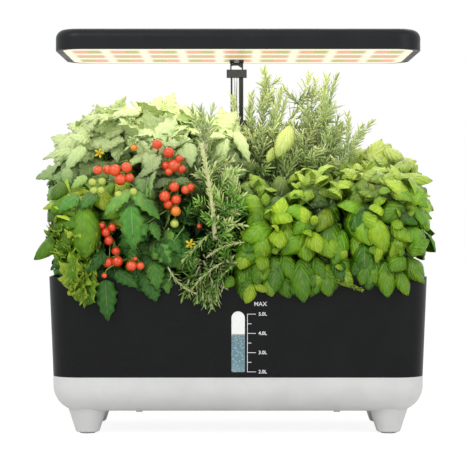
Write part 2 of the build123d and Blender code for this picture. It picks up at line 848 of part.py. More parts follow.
def make_lamp_yoke():
    """The arch above the collar and the knuckle on it that the lamp tilts about."""
    half = yoke_width / 2
    leg = half - yoke_leg
    outline = [
        (-half, collar_top_z + seat_gap),
        (-leg, collar_top_z + seat_gap),
        (-leg, arch_z - yoke_brace / 2),
        (-leg + yoke_brace / 2, arch_z - yoke_leg),
        (leg - yoke_brace, arch_z - yoke_leg),
        (leg, arch_z - yoke_brace),
        (leg, collar_top_z + seat_gap),
        (half, collar_top_z + seat_gap),
        (half, arch_z),
        (-half, arch_z),
    ]
    corners = [(mast_x + x, mast_y - yoke_depth / 2, z) for x, z in outline]
    yoke = extrude(make_face(Polyline(*corners, close=True)), yoke_depth, dir=(0, 1, 0))
    low_x = mast_x - knuckle_half
    high_x = mast_x + knuckle_half
    yoke += block(
        (low_x, mast_y - yoke_depth / 2, arch_z - 1), (high_x, mast_y + yoke_depth / 2, tilt_z)
    )
    yoke += rod_along_x(mast_y, tilt_z, low_x, high_x, tilt_knuckle_radius)
    return yoke - rod_along_x(
        mast_y, tilt_z, low_x - 1, high_x + 1, tilt_pin_radius + tilt_pin_gap
    )


# --- Lamp -------------------------------------------------------------------------------------
cheek_x = knuckle_half + cheek_gap
pocket_half = cheek_x + cheek_thickness + bracket_gap
bracket_rear_y = mast_y + bracket_rear
first_boss_y = bracket_front_y + bracket_boss_radius + bracket_boss_margin
boss_y = [first_boss_y, first_boss_y + bracket_boss_pitch]


def bracket_notch(low, high):
    """The room that the LED board and cover leave for the lamp's bracket."""
    return block(
        (mast_x - bracket_length / 2 - bracket_gap, bracket_front_y - bracket_gap, low),
        (mast_x + bracket_length / 2 + bracket_gap, lamp_depth, high),
    )


def make_lamp_housing():
    high_z = lamp_low_z + lamp_height
    housing = slab(lamp_length, lamp_depth, lamp_corner, lamp_low_z, high_z)
    housing = fillet(housing.edges().group_by(Axis.Z)[-1], lamp_rounding)
    housing -= slab(
        lamp_length - 2 * lamp_end_bezel,
        lamp_depth - 2 * lamp_front_bezel,
        lamp_corner - lamp_front_bezel,
        lamp_low_z - 1,
        high_z - lamp_roof,
    )
    boss_low_z = lamp_low_z + bracket_thickness + seat_gap
    for y in boss_y:
        boss = post(mast_x, y, boss_low_z, high_z - lamp_roof / 2, bracket_boss_radius)
        boss -= post(mast_x, y, 0, high_z - lamp_roof, screw_radius + thread_gap)
        housing += boss
    return housing


def make_lamp_bracket():
    """The black plate under the lamp with the two cheeks that hold the tilt pin."""
    plate = block(
        (mast_x - bracket_length / 2, bracket_front_y, lamp_low_z),
        (mast_x + bracket_length / 2, bracket_rear_y, lamp_low_z + bracket_thickness),
    )
    slot_half = tilt_knuckle_radius + knuckle_gap
    plate -= block(
        (mast_x - cheek_x, mast_y - slot_half, lamp_low_z - 1),
        (mast_x + cheek_x, mast_y + slot_half + bracket_rear, tilt_z),
    )
    for side in (-1, 1):
        low_x, high_x = sorted(
            (mast_x + side * cheek_x, mast_x + side * (cheek_x + cheek_thickness))
        )
        plate += block(
            (low_x, mast_y - bracket_rear, lamp_low_z), (high_x, bracket_rear_y, tilt_z)
        )
        plate += rod_along_x(mast_y, tilt_z, low_x, high_x, bracket_rear)
    plate -= rod_along_x(
        mast_y, tilt_z, mast_x - pocket_half, mast_x + pocket_half, tilt_pin_radius + thread_gap
    )
    for y in boss_y:
        plate -= post(mast_x, y, lamp_low_z - 1, tilt_z, screw_radius + seat_gap)
    return plate


def make_tilt_pin():
    half = cheek_x + cheek_thickness
    return rod_along_x(mast_y, tilt_z, mast_x - half, mast_x + half, tilt_pin_radius)


def make_bracket_screws():
    screws = []
    for y in boss_y:
        head_high_z = lamp_low_z - seat_gap
        screw = post(mast_x, y, head_high_z - 1, head_high_z, small_head_radius)
        screw += post(mast_x, y, head_high_z - 0.5, lamp_low_z + screw_length, screw_radius)
        screws.append(screw)
    return screws


def panel(low, high):
    """A sheet that fills the lamp's mouth and leaves room for the bracket."""
    sheet = slab(
        lamp_length - 2 * (lamp_end_bezel + cover_gap),
        lamp_depth - 2 * (lamp_front_bezel + cover_gap),
        lamp_corner - lamp_front_bezel - cover_gap,
        low,
        high,
    )
    return sheet - bracket_notch(low - 1, high + 1)


def make_lamp_cover():
    return panel(lamp_low_z, cover_top_z)


def make_led_board():
    return panel(led_board_low_z, led_board_low_z + led_board_thickness)


def make_leds():
    """The LED blocks under the board, in straight rows."""
    leds = []
    for row in range(led_rows):
        for column in range(led_columns):
            x = led_pitch_x * (column - (led_columns - 1) / 2)
            y = led_pitch_y * (row - (led_rows - 1) / 2)
            led = block(
                (x - led_length / 2, y - led_depth / 2, led_low_z),
                (x + led_length / 2, y + led_depth / 2, led_board_low_z),
            )
            leds += (led - bracket_notch(0, 2 * led_low_z)).solids()
    return leds


# --- Pods -------------------------------------------------------------------------------------
def make_basket(x, y):
    """A slotted net cup that hangs in the deck by its flange."""
    low_z = basket_seat_z - basket_depth
    cup = turned(
        [
            (0, low_z),
            (basket_foot_radius, low_z),
            (basket_top_radius, basket_seat_z),
            (basket_flange_radius, basket_seat_z),
            (basket_flange_radius, sponge_top_z),
            (0, sponge_top_z),
        ]
    )
    cup -= turned(
        [
            (0, low_z + basket_wall),
            (basket_foot_radius - basket_wall, low_z + basket_wall),
            (basket_top_radius - basket_wall, basket_seat_z),
            (basket_top_radius - basket_wall, sponge_top_z + 1),
            (0, sponge_top_z + 1),
        ]
    )
    slot_low_z = low_z + 2 * basket_slot_width
    slot_high_z = basket_seat_z - basket_slot_drop
    half = basket_slot_width / 2
    for i in range(basket_slots):
        slot = block((0, -half, slot_low_z), (2 * basket_top_radius, half, slot_high_z))
        cup -= Rot(0, 0, 360 / basket_slots * i) * slot
    return Pos(x, y, 0) * cup


def make_sponge(x, y):
    """The grow sponge that fills the upper part of a basket."""
    slope = (basket_top_radius - basket_foot_radius) / basket_depth
    high_radius = basket_top_radius - basket_wall - sponge_gap
    low_z = sponge_top_z - sponge_length
    taper = slope * (basket_seat_z - low_z)
    plug = turned(
        [
            (0, low_z),
            (high_radius - taper - slope, low_z),
            (high_radius, basket_seat_z),
            (high_radius, sponge_top_z),
            (0, sponge_top_z),
        ]
    )
    return Pos(x, y, 0) * plug


def eight_sided(low_x, high_x, low_y, high_y, corner, z):
    """A rectangle with cut corners at a height."""
    points = [
        (low_x + corner, low_y, z),
        (high_x - corner, low_y, z),
        (high_x, low_y + corner, z),
        (high_x, high_y - corner, z),
        (high_x - corner, high_y, z),
        (low_x + corner, high_y, z),
        (low_x, high_y - corner, z),
        (low_x, low_y + corner, z),
    ]
    return make_face(Polyline(*points, close=True))


def crown_cell(row, column):
    """The plan rectangle that a plant's crown may fill."""
    edges = [pod_pitch_x * (i - pod_columns / 2) for i in range(pod_columns + 1)]
    edges[0], edges[-1] = crown_reach_x[row]
    gap = crown_gap / 2
    low_x = edges[column] + (gap if column else 0)
    high_x = edges[column + 1] - (gap if column < pod_columns - 1 else 0)
    beside_mast = abs(pod_x[column]) < pod_pitch_x
    rear_y = crown_mast_y if beside_mast else crown_reach_y
    if row == "front":
        return low_x, high_x, -crown_reach_y, -gap
    return low_x, high_x, gap, rear_y


def crown_foot_z(column):
    """Underside of the crowns in one column."""
    return crown_over_lid_z if column == pod_columns - 1 else crown_z


def make_stem(row, column):
    """A plant's stem, from its sponge to its crown."""
    x = pod_x[column]
    y = pod_y[row]
    sections = [
        eight_sided(x - r, x + r, y - r, y + r, r / 2, z)
        for r, z in (
            (stem_radius, sponge_top_z + seat_gap),
            (stem_spread, crown_foot_z(column)),
        )
    ]
    return loft(sections, ruled=True)


def make_crown(row, column):
    """A plant's leaf crown as one simple solid."""
    wide_z, closing_z, high_z, inset = crowns[row, column][1:]
    low_x, high_x, low_y, high_y = crown_cell(row, column)
    levels = (
        (crown_foot_share, crown_foot_z(column)),
        (0, wide_z),
        (crown_closing_share, closing_z),
        (1, high_z),
    )
    sections = []
    for share, z in levels:
        sides = (
            low_x + share * inset[0],
            high_x - share * inset[1],
            low_y + share * inset[2],
            high_y - share * inset[3],
        )
        corner = min(crown_corner, (sides[1] - sides[0]) / 4, (sides[3] - sides[2]) / 4)
        sections.append(eight_sided(*sides, corner, z))
    return loft(sections, ruled=True)


def make_hanging_leaves(row, column):
    """Leaves that hang from a crown, clear of the shell, as one wedge."""
    low_x, high_x, low_y, high_y = crown_cell(row, column)
    side = -1 if row == "front" else 1
    drawn_in = crown_foot_share * crowns[row, column][4][2 if side < 0 else 3]
    reach = crown_reach_y - drawn_in
    rim_y = seam_depth / 2 + shell_lean + rim_clearance
    low_z = hang_low_z[row][column]
    high_z = crown_foot_z(column)
    near_y, far_y = sorted((side * rim_y, side * reach))
    sections = []
    for share, z in ((hang_taper, low_z), (0, (low_z + high_z) / 2), (0, high_z)):
        narrow = share * (high_x - low_x) + hang_inset
        sections.append(
            eight_sided(low_x + narrow, high_x - narrow, near_y, far_y, (far_y - near_y) / 4, z)
        )
    return loft(sections, ruled=True)


def make_plant(row, column):
    """One plant with the sponge that it is rooted in."""
    solids = [
        make_stem(row, column),
        make_crown(row, column),
        make_sponge(pod_x[column], pod_y[row]),
    ]
    beside_mast = row == "rear" and abs(pod_x[column]) < pod_pitch_x
    if not beside_mast:
        solids.append(make_hanging_leaves(row, column))
    return solids


# --- Every piece, by node name ------------------------------------------------------------------
pieces = {
    "base_shell": make_base_shell(),
    "foot_pads": make_foot_pads(),
    "outer_shell": make_outer_shell(),
    "water_tank": make_water_tank(),
    "base_screws": make_base_screws(),
    "level_window": make_level_window(),
    "window_gasket": make_window_gasket(),
    "grow_deck": make_grow_deck(),
    "fill_lid": make_fill_lid(),
    "lid_hinge_pin": make_lid_hinge_pin(),
    "water_outlet": make_water_outlet(),
    "pump_body": make_pump_body(),
    "pump_cover": make_pump_cover(),
    "pump_impeller": make_pump_impeller(),
    "rotor_shaft": make_rotor_shaft(),
    "riser_tube": make_riser_tube(),
    "pump_lead": make_pump_lead(),
    "control_box": make_control_box(),
    "circuit_board": make_circuit_board(),
    "light_button": make_button(light_button_x),
    "pump_button": make_button(pump_button_x),
    "power_inlet": make_power_inlet(),
    "mast_column": make_mast_column(),
    "column_screws": make_column_screws(),
    "height_knob": make_height_knob(),
    "thin_rod": make_rod("thin"),
    "steel_rod": make_rod("steel"),
    "lead_tube": make_lead_tube(),
    "mast_collar": make_mast_collar(),
    "lamp_yoke": make_lamp_yoke(),
    "lamp_housing": make_lamp_housing(),
    "lamp_bracket": make_lamp_bracket(),
    "tilt_pin": make_tilt_pin(),
    "lamp_cover": make_lamp_cover(),
    "led_board": [make_led_board()] + make_leds(),
    "bracket_screws": make_bracket_screws(),
}
for (row, column), crown in crowns.items():
    pieces[f"basket_{row}_{column + 1}"] = make_basket(pod_x[column], pod_y[row])
    pieces[f"{crown[0]}_{row}_{column + 1}"] = make_plant(row, column)

os.makedirs("parts", exist_ok=True)
for name, shape in pieces.items():
    solids = shape if isinstance(shape, list) else [shape]
    parts = [solid for piece in solids for solid in piece.solids()]
    export_step(parts[0] if len(parts) == 1 else Compound(children=parts), f"parts/{name}.step")
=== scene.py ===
"""Countertop hydroponic garden: finishes, water, printed scale, lit panel and living plants."""

import json
import math
import random

import bpy
import numpy as np
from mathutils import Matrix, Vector
from mathutils.bvhtree import BVHTree


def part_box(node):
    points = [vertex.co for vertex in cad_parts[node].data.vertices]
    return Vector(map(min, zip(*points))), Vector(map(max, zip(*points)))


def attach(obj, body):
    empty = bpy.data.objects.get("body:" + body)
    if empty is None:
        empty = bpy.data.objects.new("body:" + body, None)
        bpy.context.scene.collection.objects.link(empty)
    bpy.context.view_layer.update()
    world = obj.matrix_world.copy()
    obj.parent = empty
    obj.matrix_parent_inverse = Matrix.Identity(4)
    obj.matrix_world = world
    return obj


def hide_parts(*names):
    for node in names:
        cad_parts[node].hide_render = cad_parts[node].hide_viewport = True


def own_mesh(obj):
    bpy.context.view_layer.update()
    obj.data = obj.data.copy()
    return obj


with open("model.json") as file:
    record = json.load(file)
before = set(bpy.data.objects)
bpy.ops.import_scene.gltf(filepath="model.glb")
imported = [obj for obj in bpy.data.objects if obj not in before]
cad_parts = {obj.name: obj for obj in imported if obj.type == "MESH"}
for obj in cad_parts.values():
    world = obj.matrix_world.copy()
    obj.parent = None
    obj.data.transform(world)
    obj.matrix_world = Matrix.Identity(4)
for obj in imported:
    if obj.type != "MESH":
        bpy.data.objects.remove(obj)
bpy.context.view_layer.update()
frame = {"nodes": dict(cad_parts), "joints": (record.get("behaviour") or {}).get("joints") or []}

MM = 0.001

# ---------------------------------------------------------------- camera and light

# The camera's place in mm, how far it looks down in degrees, and its lens.
CAMERA_PLACE = (-5.6, -1835.0, 220.0)
CAMERA_DIP = 0.57
CAMERA_LENS = 137.0
SENSOR_WIDTH = 36.0
# The same view in pixels of a frame 465 wide: the garden's middle, the camera's level, the focal length.
MIDDLE_PIXEL = 238.2
HORIZON_PIXEL = 215.0
FOCAL_PIXELS = 1770.0
# The studio's lamps: name, place and size in metres, and power in watts.
STUDIO_LAMPS = (
    ("key", (-0.9, -1.5, 1.5), 1.2, 16.0),
    ("fill", (1.3, -1.4, 0.9), 1.4, 9.0),
    ("back", (0.2, 1.6, 1.5), 1.4, 8.0),
)
LAMP_AIM = (0, 0, 0.2)
# The light that the lit panel sheds on the plants.
GROW_PLACE, GROW_LENGTH, GROW_DEPTH, GROW_POWER = (0, 0, 0.3825), 0.33, 0.14, 0.2
# How far the floor reaches each way, in metres.
FLOOR_REACH = 6

# ---------------------------------------------------------------- painted shade and painted lamp light on the leaves, in mm

# Painted shade darkens leaves from SHADE_START deep in the plant, over SHADE_DEPTH more.
SHADE_START, SHADE_DEPTH = 2.0, 14.0
# Below LOW_SHADE_Z painted shade darkens them as well, over LOW_SHADE_SPAN, by up to LOW_SHADE.
LOW_SHADE_Z, LOW_SHADE_SPAN, LOW_SHADE = 225.0, 60.0, 0.5
# How far leaves may pass the roof of their kind, and how far under it their feet stay.
ROOF_SLACK = 6.0
# The heights between which the lamp's pale wash of painted light comes in.
WASH_FOOT_Z, WASH_TOP_Z = 222.0, 312.0

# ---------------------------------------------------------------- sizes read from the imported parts

SHELL_SEAM_Z, SHELL_SEAM_FRONT = 58.5, -81.0
WALL_LEAN = 0.0402
WINDOW_FOOT_Z, WINDOW_TOP_Z = 64.0, 125.0
WATER_Z, WATER_FOOT_Z = 101.7, 28.9
WATER_HALF_LENGTH, WATER_HALF_DEPTH, WATER_CORNER = 178.6, 73.6, 19.0
SPONGE_TOP, SPONGE_LENGTH, SPONGE_RADIUS = 154.8, 34.0, 14.3
POD_PITCH, POD_ROW_Y = 54.0, 38.0
CROWN_FOOT, END_CROWN_FOOT = 166.0, 182.0
LID_HINGE_X, LID_HINGE_Z, LID_REACH, LID_HALF_WIDTH = 179.3, 156.0, 28.0, 24.0

# ---------------------------------------------------------------- the printed scale

SCALE_X, SCALE_TOP_Z, SCALE_STEP = 9.2, 121.75, 19.15
LONG_TICK, SHORT_TICK, TICK_HEIGHT = 8.4, 4.0, 0.55
# How far ink stands out of the shell, and how deep the bars' backs lie in it.
INK_PROUD, INK_BACK = 0.06, -0.02
# Words: their heights, how far MAX stands over the top mark, and where they end beside the scale.
LITRE_WORD, MAX_WORD, MAX_WORD_RISE, WORD_END = 4.4, 5.4, 9.9, 19.2
# The font's size to a letter's height, how thick the ink is in mm, and how bold the letters are in metres.
WORD_STRETCH, WORD_INK, WORD_BOLD = 1.1, 0.03, 0.00009


def linear(hex_colour):
    """The linear colour of an sRGB hex value."""
    parts = [int(hex_colour[k:k + 2], 16) / 255 for k in (1, 3, 5)]
    return tuple(p / 12.92 if p <= 0.04045 else ((p + 0.055) / 1.055) ** 2.4 for p in parts) + (1.0,)


def feed(tree, node, inputs):
    """Sets a node's inputs from values, from sockets, or from the first output of other nodes."""
    for name, value in dict(inputs).items():
        socket = node.inputs[name] if isinstance(name, int) else next(
            s for s in node.inputs if s.name == name and s.enabled)
        if isinstance(value, bpy.types.Node):
            value = next(s for s in value.outputs if s.enabled)
        if isinstance(value, bpy.types.NodeSocket):
            tree.links.new(value, socket)
        else:
            socket.default_value = value


def add_node(tree, kind, inputs=(), stops=(), **settings):
    """Adds one shader node, with its settings, ramp stops, and values or links on its inputs."""
    made = tree.nodes.new(kind)
    for name, value in settings.items():
        setattr(made, name, value)
    for k, (place, hex_colour) in enumerate(sorted(stops)):
        marks = made.color_ramp.elements
        mark = marks[k] if k < 2 else marks.new(1.0)
        mark.position, mark.color = place, linear(hex_colour)
    feed(tree, made, inputs)
    return made


def add_math(tree, operation, *values):
    """A sum on numbers and sockets; operation is the shader's own word for it."""
    return add_node(tree, "ShaderNodeMath", dict(enumerate(values)), operation=operation)


def add_range(tree, value, source, target, smooth=False):
    """A value carried from one range to another and held at its ends."""
    ends = {"From Min": source[0], "From Max": source[1], "To Min": target[0], "To Max": target[1]}
    return add_node(tree, "ShaderNodeMapRange", {"Value": value, **ends},
                    interpolation_type="SMOOTHSTEP" if smooth else "LINEAR")


def add_ramp(tree, value, stops):
    """A colour that follows a value through these stops."""
    return add_node(tree, "ShaderNodeValToRGB", {"Fac": value}, stops=stops)


def add_mix(tree, share, first, second):
    """A mix of two colours, with this share of the second."""
    return add_node(tree, "ShaderNodeMix", {"Factor": share, "A": first, "B": second}, data_type="RGBA")


def add_noise(tree, place, scale, detail):
    """Soft noise, with this many cells to the metre."""
    made = add_node(tree, "ShaderNodeTexNoise", {"Vector": place, "Scale": scale, "Detail": detail})
    return made.outputs["Fac"]


def add_bump(tree, height, strength, depth_mm):
    """Fine relief."""
    return add_node(tree, "ShaderNodeBump", {
        "Height": height, "Strength": strength, "Distance": depth_mm * MM})


def read_mark(tree, name):
    """What each point of a mesh has been given under this name."""
    return add_node(tree, "ShaderNodeAttribute", attribute_name=name).outputs["Fac"]


def start_finish(name, **fixed):
    """A material whose principled shader has these sockets set; returns it, its tree and the shader."""
    made = bpy.data.materials.new(name)
    made.use_nodes = True
    shader = made.node_tree.nodes["Principled BSDF"]
    for socket, value in fixed.items():
        shader.inputs[socket.replace("_", " ")].default_value = value
    return made, made.node_tree, shader


def moulded(name, dark, light, rough, grain_mm, depth_mm, **fixed):
    """A moulded or sprayed finish: two close tones, an uneven gloss and a fine texture."""
    made, tree, shader = start_finish(name, **fixed)
    place = add_node(tree, "ShaderNodeTexCoord").outputs["Object"]
    cloud = add_noise(tree, place, 35.0, 4.0)
    grain = add_noise(tree, place, 1 / (grain_mm * MM), 2.0)
    feed(tree, shader, {
        "Base Color": add_ramp(tree, cloud, [(0.3, dark), (0.7, light)]),
        "Roughness": add_range(tree, cloud, (0.3, 0.7), (rough - 0.06, rough + 0.06)),
        "Normal": add_bump(tree, grain, 0.6, depth_mm)})
    return made


def brushed(name, dark, light, rough):
    """Drawn or brushed metal: fine lines that run up and down, so its highlight is long and soft."""
    made, tree, shader = start_finish(name, Metallic=1.0)
    place = add_node(tree, "ShaderNodeTexCoord").outputs["Object"]
    stretched = add_node(tree, "ShaderNodeMapping", {"Vector": place, "Scale": (2500.0, 2500.0, 60.0)})
    lines = add_noise(tree, stretched.outputs["Vector"], 1.0, 3.0)
    feed(tree, shader, {
        "Base Color": add_ramp(tree, lines, [(0.3, dark), (0.7, light)]),
        "Roughness": add_range(tree, lines, (0.0, 1.0), (rough - 0.08, rough + 0.08)),
        "Normal": add_bump(tree, lines, 0.3, 0.02)})
    return made


def window_plastic():
    """Clear plastic over the milky sight channel: white where it is dry, blue-grey with bubbles below."""
    made, tree, shader = start_finish(
        "clear_window", IOR=1.58, Roughness=0.08, Coat_Weight=1.0, Coat_Roughness=0.03)
    place = add_node(tree, "ShaderNodeTexCoord").outputs["Object"]
    height = add_node(tree, "ShaderNodeSeparateXYZ", {"Vector": place}).outputs["Z"]
    bubbles = add_node(tree, "ShaderNodeTexVoronoi", {"Vector": place, "Scale": 420.0}).outputs["Distance"]
    speck = add_ramp(tree, bubbles, [(0.0, "#C4DDE0"), (0.25, "#86AEB6"), (0.55, "#3F6672")])
    level = add_range(tree, height, (WINDOW_FOOT_Z * MM, WINDOW_TOP_Z * MM), (0.0, 1.0))
    wet = add_ramp(tree, level, [
        (0.0, "#8DB2B8"), (0.15, "#6F98A2"), (0.5, "#688E9C"), (0.57, "#748F8E"), (0.61, "#879B98"),
        (0.63, "#F4F4F2"), (1.0, "#FAFAF8")])
    below = add_range(tree, height, (WATER_Z * MM, (WATER_Z - 1) * MM), (0.0, 1.0))
    share = add_math(tree, "MULTIPLY", below, 0.5)
    feed(tree, shader, {"Base Color": add_mix(tree, share, wet, speck)})
    return made


def leaf_surface(name, tones, vein, side_veins, lit, rough, puff_mm, vein_width=0.03, vein_share=0.55,
                 wash=0.5, dark_keeps=0.0, slant=0.6, **fixed):
    """A living leaf: veined, its tone by leaf, with painted shade inside the plant, and an uneven gloss.

    Near the lamp painted lamp light pales it towards lit by wash, and the darkest leaves keep dark_keeps of
    their own tone.
    """
    made, tree, shader = start_finish(name, **fixed)
    place = add_node(tree, "ShaderNodeTexCoord")
    height = add_node(tree, "ShaderNodeSeparateXYZ", {"Vector": place.outputs["Object"]}).outputs["Z"]
    leaf_place = add_node(tree, "ShaderNodeSeparateXYZ", {"Vector": place.outputs["UV"]})
    tone = read_mark(tree, "tone")
    mottle = add_noise(tree, place.outputs["Object"], 160.0, 3.0)
    spread = add_math(tree, "MULTIPLY_ADD", mottle, 0.5, tone)
    green = add_ramp(tree, add_math(tree, "SUBTRACT", spread, 0.25), tones)

    off_middle = add_math(tree, "SUBTRACT", leaf_place.outputs["Y"], 0.5)
    across = add_math(tree, "ABSOLUTE", off_middle)
    midrib = add_range(tree, across, (0.0, vein_width), (1.0, 0.0), smooth=True)
    slanted = add_math(tree, "MULTIPLY_ADD", across, -slant, leaf_place.outputs["X"])
    counted = add_math(tree, "MULTIPLY", slanted, side_veins)
    nearest = add_math(tree, "PINGPONG", counted, 0.5)
    side = add_range(tree, nearest, (0.0, 0.12), (0.3, 0.0), smooth=True)
    veins = add_math(tree, "MAXIMUM", midrib, side)
    paler = add_math(tree, "MULTIPLY", veins, vein_share)
    veined = add_mix(tree, paler, green, linear(vein))

    # Painted shade: by the shade mark leaves darken towards #0C1C07 inside the plant, less so higher up near
    # the lamp.
    washed_heights = (WASH_FOOT_Z * MM, WASH_TOP_Z * MM)
    depth = add_range(tree, height, washed_heights, (0.88, 0.16))
    painted_shade = add_math(tree, "MULTIPLY", read_mark(tree, "shade"), depth)
    shaded = add_mix(tree, painted_shade, veined, linear("#0C1C07"))
    # Painted lamp light: near the lamp leaves pale towards lit, by wash and by their tone.
    near_lamp = add_range(tree, height, washed_heights, (0.0, wash), smooth=True)
    taken_up = add_range(tree, tone, (0.0, 1.0), (1 - dark_keeps, 1.0))
    painted_lamp_light = add_math(tree, "MULTIPLY", near_lamp, taken_up)

    soft = add_math(tree, "MULTIPLY", mottle, 0.35)
    quilted = add_math(tree, "MULTIPLY_ADD", nearest, 1.6, soft)
    relief = add_math(tree, "MULTIPLY_ADD", veins, -1.0, quilted)
    feed(tree, shader, {
        "Base Color": add_mix(tree, painted_lamp_light, shaded, linear(lit)),
        "Roughness": add_range(tree, mottle, (0.3, 0.7), (rough - 0.08, rough + 0.12)),
        "Normal": add_bump(tree, relief, 0.7, puff_mm)})
    return made


def lamp_panel():
    """Milky diffuser over warm white, pink and olive LED blocks, which show as soft coloured patches."""
    made, tree, shader = start_finish("lamp_cover", Base_Color=linear("#4A4946"), Roughness=0.35, IOR=1.49,
                                      Emission_Strength=0.86)
    place = add_node(tree, "ShaderNodeTexCoord").outputs["Object"]
    place = add_node(tree, "ShaderNodeSeparateXYZ", {"Vector": place})
    cells = []
    for axis, pitch, size in (("X", 38.0, 29.0), ("Y", 50.0, 33.0)):
        counted = add_math(tree, "DIVIDE", place.outputs[axis], pitch * MM)
        near = add_math(tree, "ROUND", counted)
        off = add_math(tree, "SUBTRACT", counted, near)
        away = add_math(tree, "ABSOLUTE", off)
        edge = size / pitch / 2
        inside = add_range(tree, away, (edge * 0.8, edge * 1.2), (1.0, 0.0), smooth=True)
        cells.append((near, off, inside))
    (_, off_column, in_column), (row, _, in_row) = cells
    right = add_math(tree, "GREATER_THAN", off_column, 0.0)
    front = add_math(tree, "MULTIPLY_ADD", row, 0.5, 0.5)
    olive = add_math(tree, "ABSOLUTE", add_math(tree, "SUBTRACT", right, front))
    block = add_mix(tree, olive, linear("#EE9C80"), linear("#B9AF58"))
    patch = add_math(tree, "MULTIPLY", in_column, in_row)
    feed(tree, shader, {"Emission Color": add_mix(tree, patch, linear("#FBF5D6"), block)})
    return made


def fruit_skin():
    """Ripening tomato skin: taut and glossy, green through orange to red by fruit."""
    made, tree, shader = start_finish("tomato_skin", IOR=1.45, Coat_Weight=0.7, Coat_Roughness=0.08)
    place = add_node(tree, "ShaderNodeTexCoord").outputs["Object"]
    cloud = add_noise(tree, place, 220.0, 2.0)
    ripeness = add_math(tree, "MULTIPLY_ADD", cloud, 0.12, read_mark(tree, "tone"))
    feed(tree, shader, {
        "Base Color": add_ramp(tree, ripeness, [
            (0.0, "#9FBF45"), (0.25, "#C6CF5A"), (0.5, "#F28C1E"), (0.75, "#F5642A"), (1.0, "#E24018")]),
        "Roughness": add_range(tree, cloud, (0.0, 1.0), (0.2, 0.34)),
        "Normal": add_bump(tree, cloud, 0.3, 0.2)})
    return made


FINISHES = {
    # moulded white ABS: satin, very slightly warm, with a fine spark texture
    "white_abs": moulded("white_abs", "#D2D2D1", "#DBDBDA", 0.42, 0.6, 0.02, IOR=1.53),
    # nitrile rubber pads: matt and grippy
    "rubber_pad": moulded("rubber_pad", "#1D1D1E", "#262627", 0.8, 0.5, 0.05),
    # black ABS shell: satin gloss that picks up the room along its rounded corners
    "black_abs": moulded("black_abs", "#0F1011", "#131415", 0.3, 0.5, 0.012, IOR=1.53,
                         Specular_IOR_Level=0.16),
    # inner tank in dark polypropylene: dull, waxy
    "dark_tank": moulded("dark_tank", "#26282B", "#2D3033", 0.5, 0.8, 0.02, IOR=1.49),
    # zinc-plated screws: bright, slightly brushed
    "screw_steel": brushed("screw_steel", "#A9ABAD", "#C4C6C8", 0.3),
    "clear_window": window_plastic(),
    # grow deck: matt black ABS that hides splashes
    "deck_abs": moulded("deck_abs", "#232427", "#2A2B2E", 0.5, 0.9, 0.05, IOR=1.53),
    # pump housing: dark glass-filled nylon, faintly mottled
    "pump_plastic": moulded("pump_plastic", "#2B2C2E", "#35373A", 0.55, 0.5, 0.04),
    # silicone hose: milky, soft sheen
    "silicone_hose": moulded("silicone_hose", "#C9CDCB", "#D8DBD9", 0.35, 1.2, 0.03, IOR=1.43),
    # PVC cable sheath: smooth, dull black
    "cable_sheath": moulded("cable_sheath", "#1B1B1C", "#222223", 0.5, 0.8, 0.02),
    # glass epoxy board under green solder mask
    "circuit_green": moulded("circuit_green", "#1F5B33", "#2B6E40", 0.35, 0.4, 0.03),
    # acetal impeller: clean white, smooth
    "impeller_white": moulded("impeller_white", "#DDDEDC", "#E8E9E7", 0.4, 0.7, 0.01),
    # ABS button caps: light grey, satin
    "button_grey": moulded("button_grey", "#B9BBBD", "#C6C8CA", 0.4, 0.5, 0.015),
    # powder-coated steel: black with a fine orange-peel texture
    "black_steel": moulded("black_steel", "#131415", "#191A1C", 0.38, 0.45, 0.02, IOR=1.5),
    # polished stainless tube
    "bright_steel": brushed("bright_steel", "#C6C8CA", "#E2E3E4", 0.18),
    # lamp housing: slate grey sprayed ABS, satin
    "lamp_abs": moulded("lamp_abs", "#1D1F21", "#222426", 0.36, 0.6, 0.01, IOR=1.53, Specular_IOR_Level=0.14),
    "lamp_cover": lamp_panel(),
    # white solder mask on the LED board
    "led_board": moulded("led_board", "#E9E6D8", "#F4F1E4", 0.5, 0.5, 0.02),
    # net cups in recycled black polypropylene
    "basket_plastic": moulded("basket_plastic", "#202123", "#292A2D", 0.5, 0.7, 0.03),
}
# Each kind's lit colour is painted lamp light: near the lamp its leaves pale towards it.
LEAVES = {
    # sweet basil: waxy, strongly domed between pale veins
    "basil": leaf_surface(
        "basil_leaves", [(0.0, "#2E6A08"), (0.45, "#74AE14"), (1.0, "#C4E236")], "#CBE670", 4.6, "#E0EA8E",
        0.25, 0.9, vein_share=0.45, wash=0.85, slant=1.0, IOR=1.45, Specular_IOR_Level=0.4),
    # tomato: duller, hairy, bluish green with pale veins
    "tomato": leaf_surface(
        "tomato_leaves", [(0.0, "#22501C"), (0.45, "#4F9035"), (1.0, "#9CCB58")], "#B9D68E", 5.5, "#DFF0AE",
        0.46, 0.7, wash=1.0, IOR=1.42, Specular_IOR_Level=0.25),
    # loose-leaf lettuce: thin, yellow-green, frilled
    "lettuce": leaf_surface(
        "lettuce_leaves", [(0.0, "#33600F"), (0.5, "#76A822"), (1.0, "#C6E045")], "#C6DE74", 6.0, "#DCE88A",
        0.36, 0.6, vein_share=0.18, slant=0.8, IOR=1.42, Specular_IOR_Level=0.3),
    # rosemary: leathery needles, grey-green with pale young tips
    "rosemary": leaf_surface(
        "rosemary_leaves", [(0.0, "#1D4410"), (0.35, "#4F9A28"), (0.7, "#98D048"), (1.0, "#E6F0A4")],
        "#C9DC9A", 1.0, "#E4EDB2", 0.4, 0.1, vein_width=0.12, vein_share=0.3, wash=0.85, dark_keeps=0.5,
        IOR=1.45, Specular_IOR_Level=0.3),
}
# green stems: smooth, pale, a little hairy
STEM = moulded("green_stem", "#5F8433", "#86A84C", 0.5, 1.5, 0.1)
# rosemary wood: pale, stringy bark
WOOD = moulded("rosemary_wood", "#C9C48E", "#E6E3B8", 0.6, 1.0, 0.15)
FRUIT = fruit_skin()
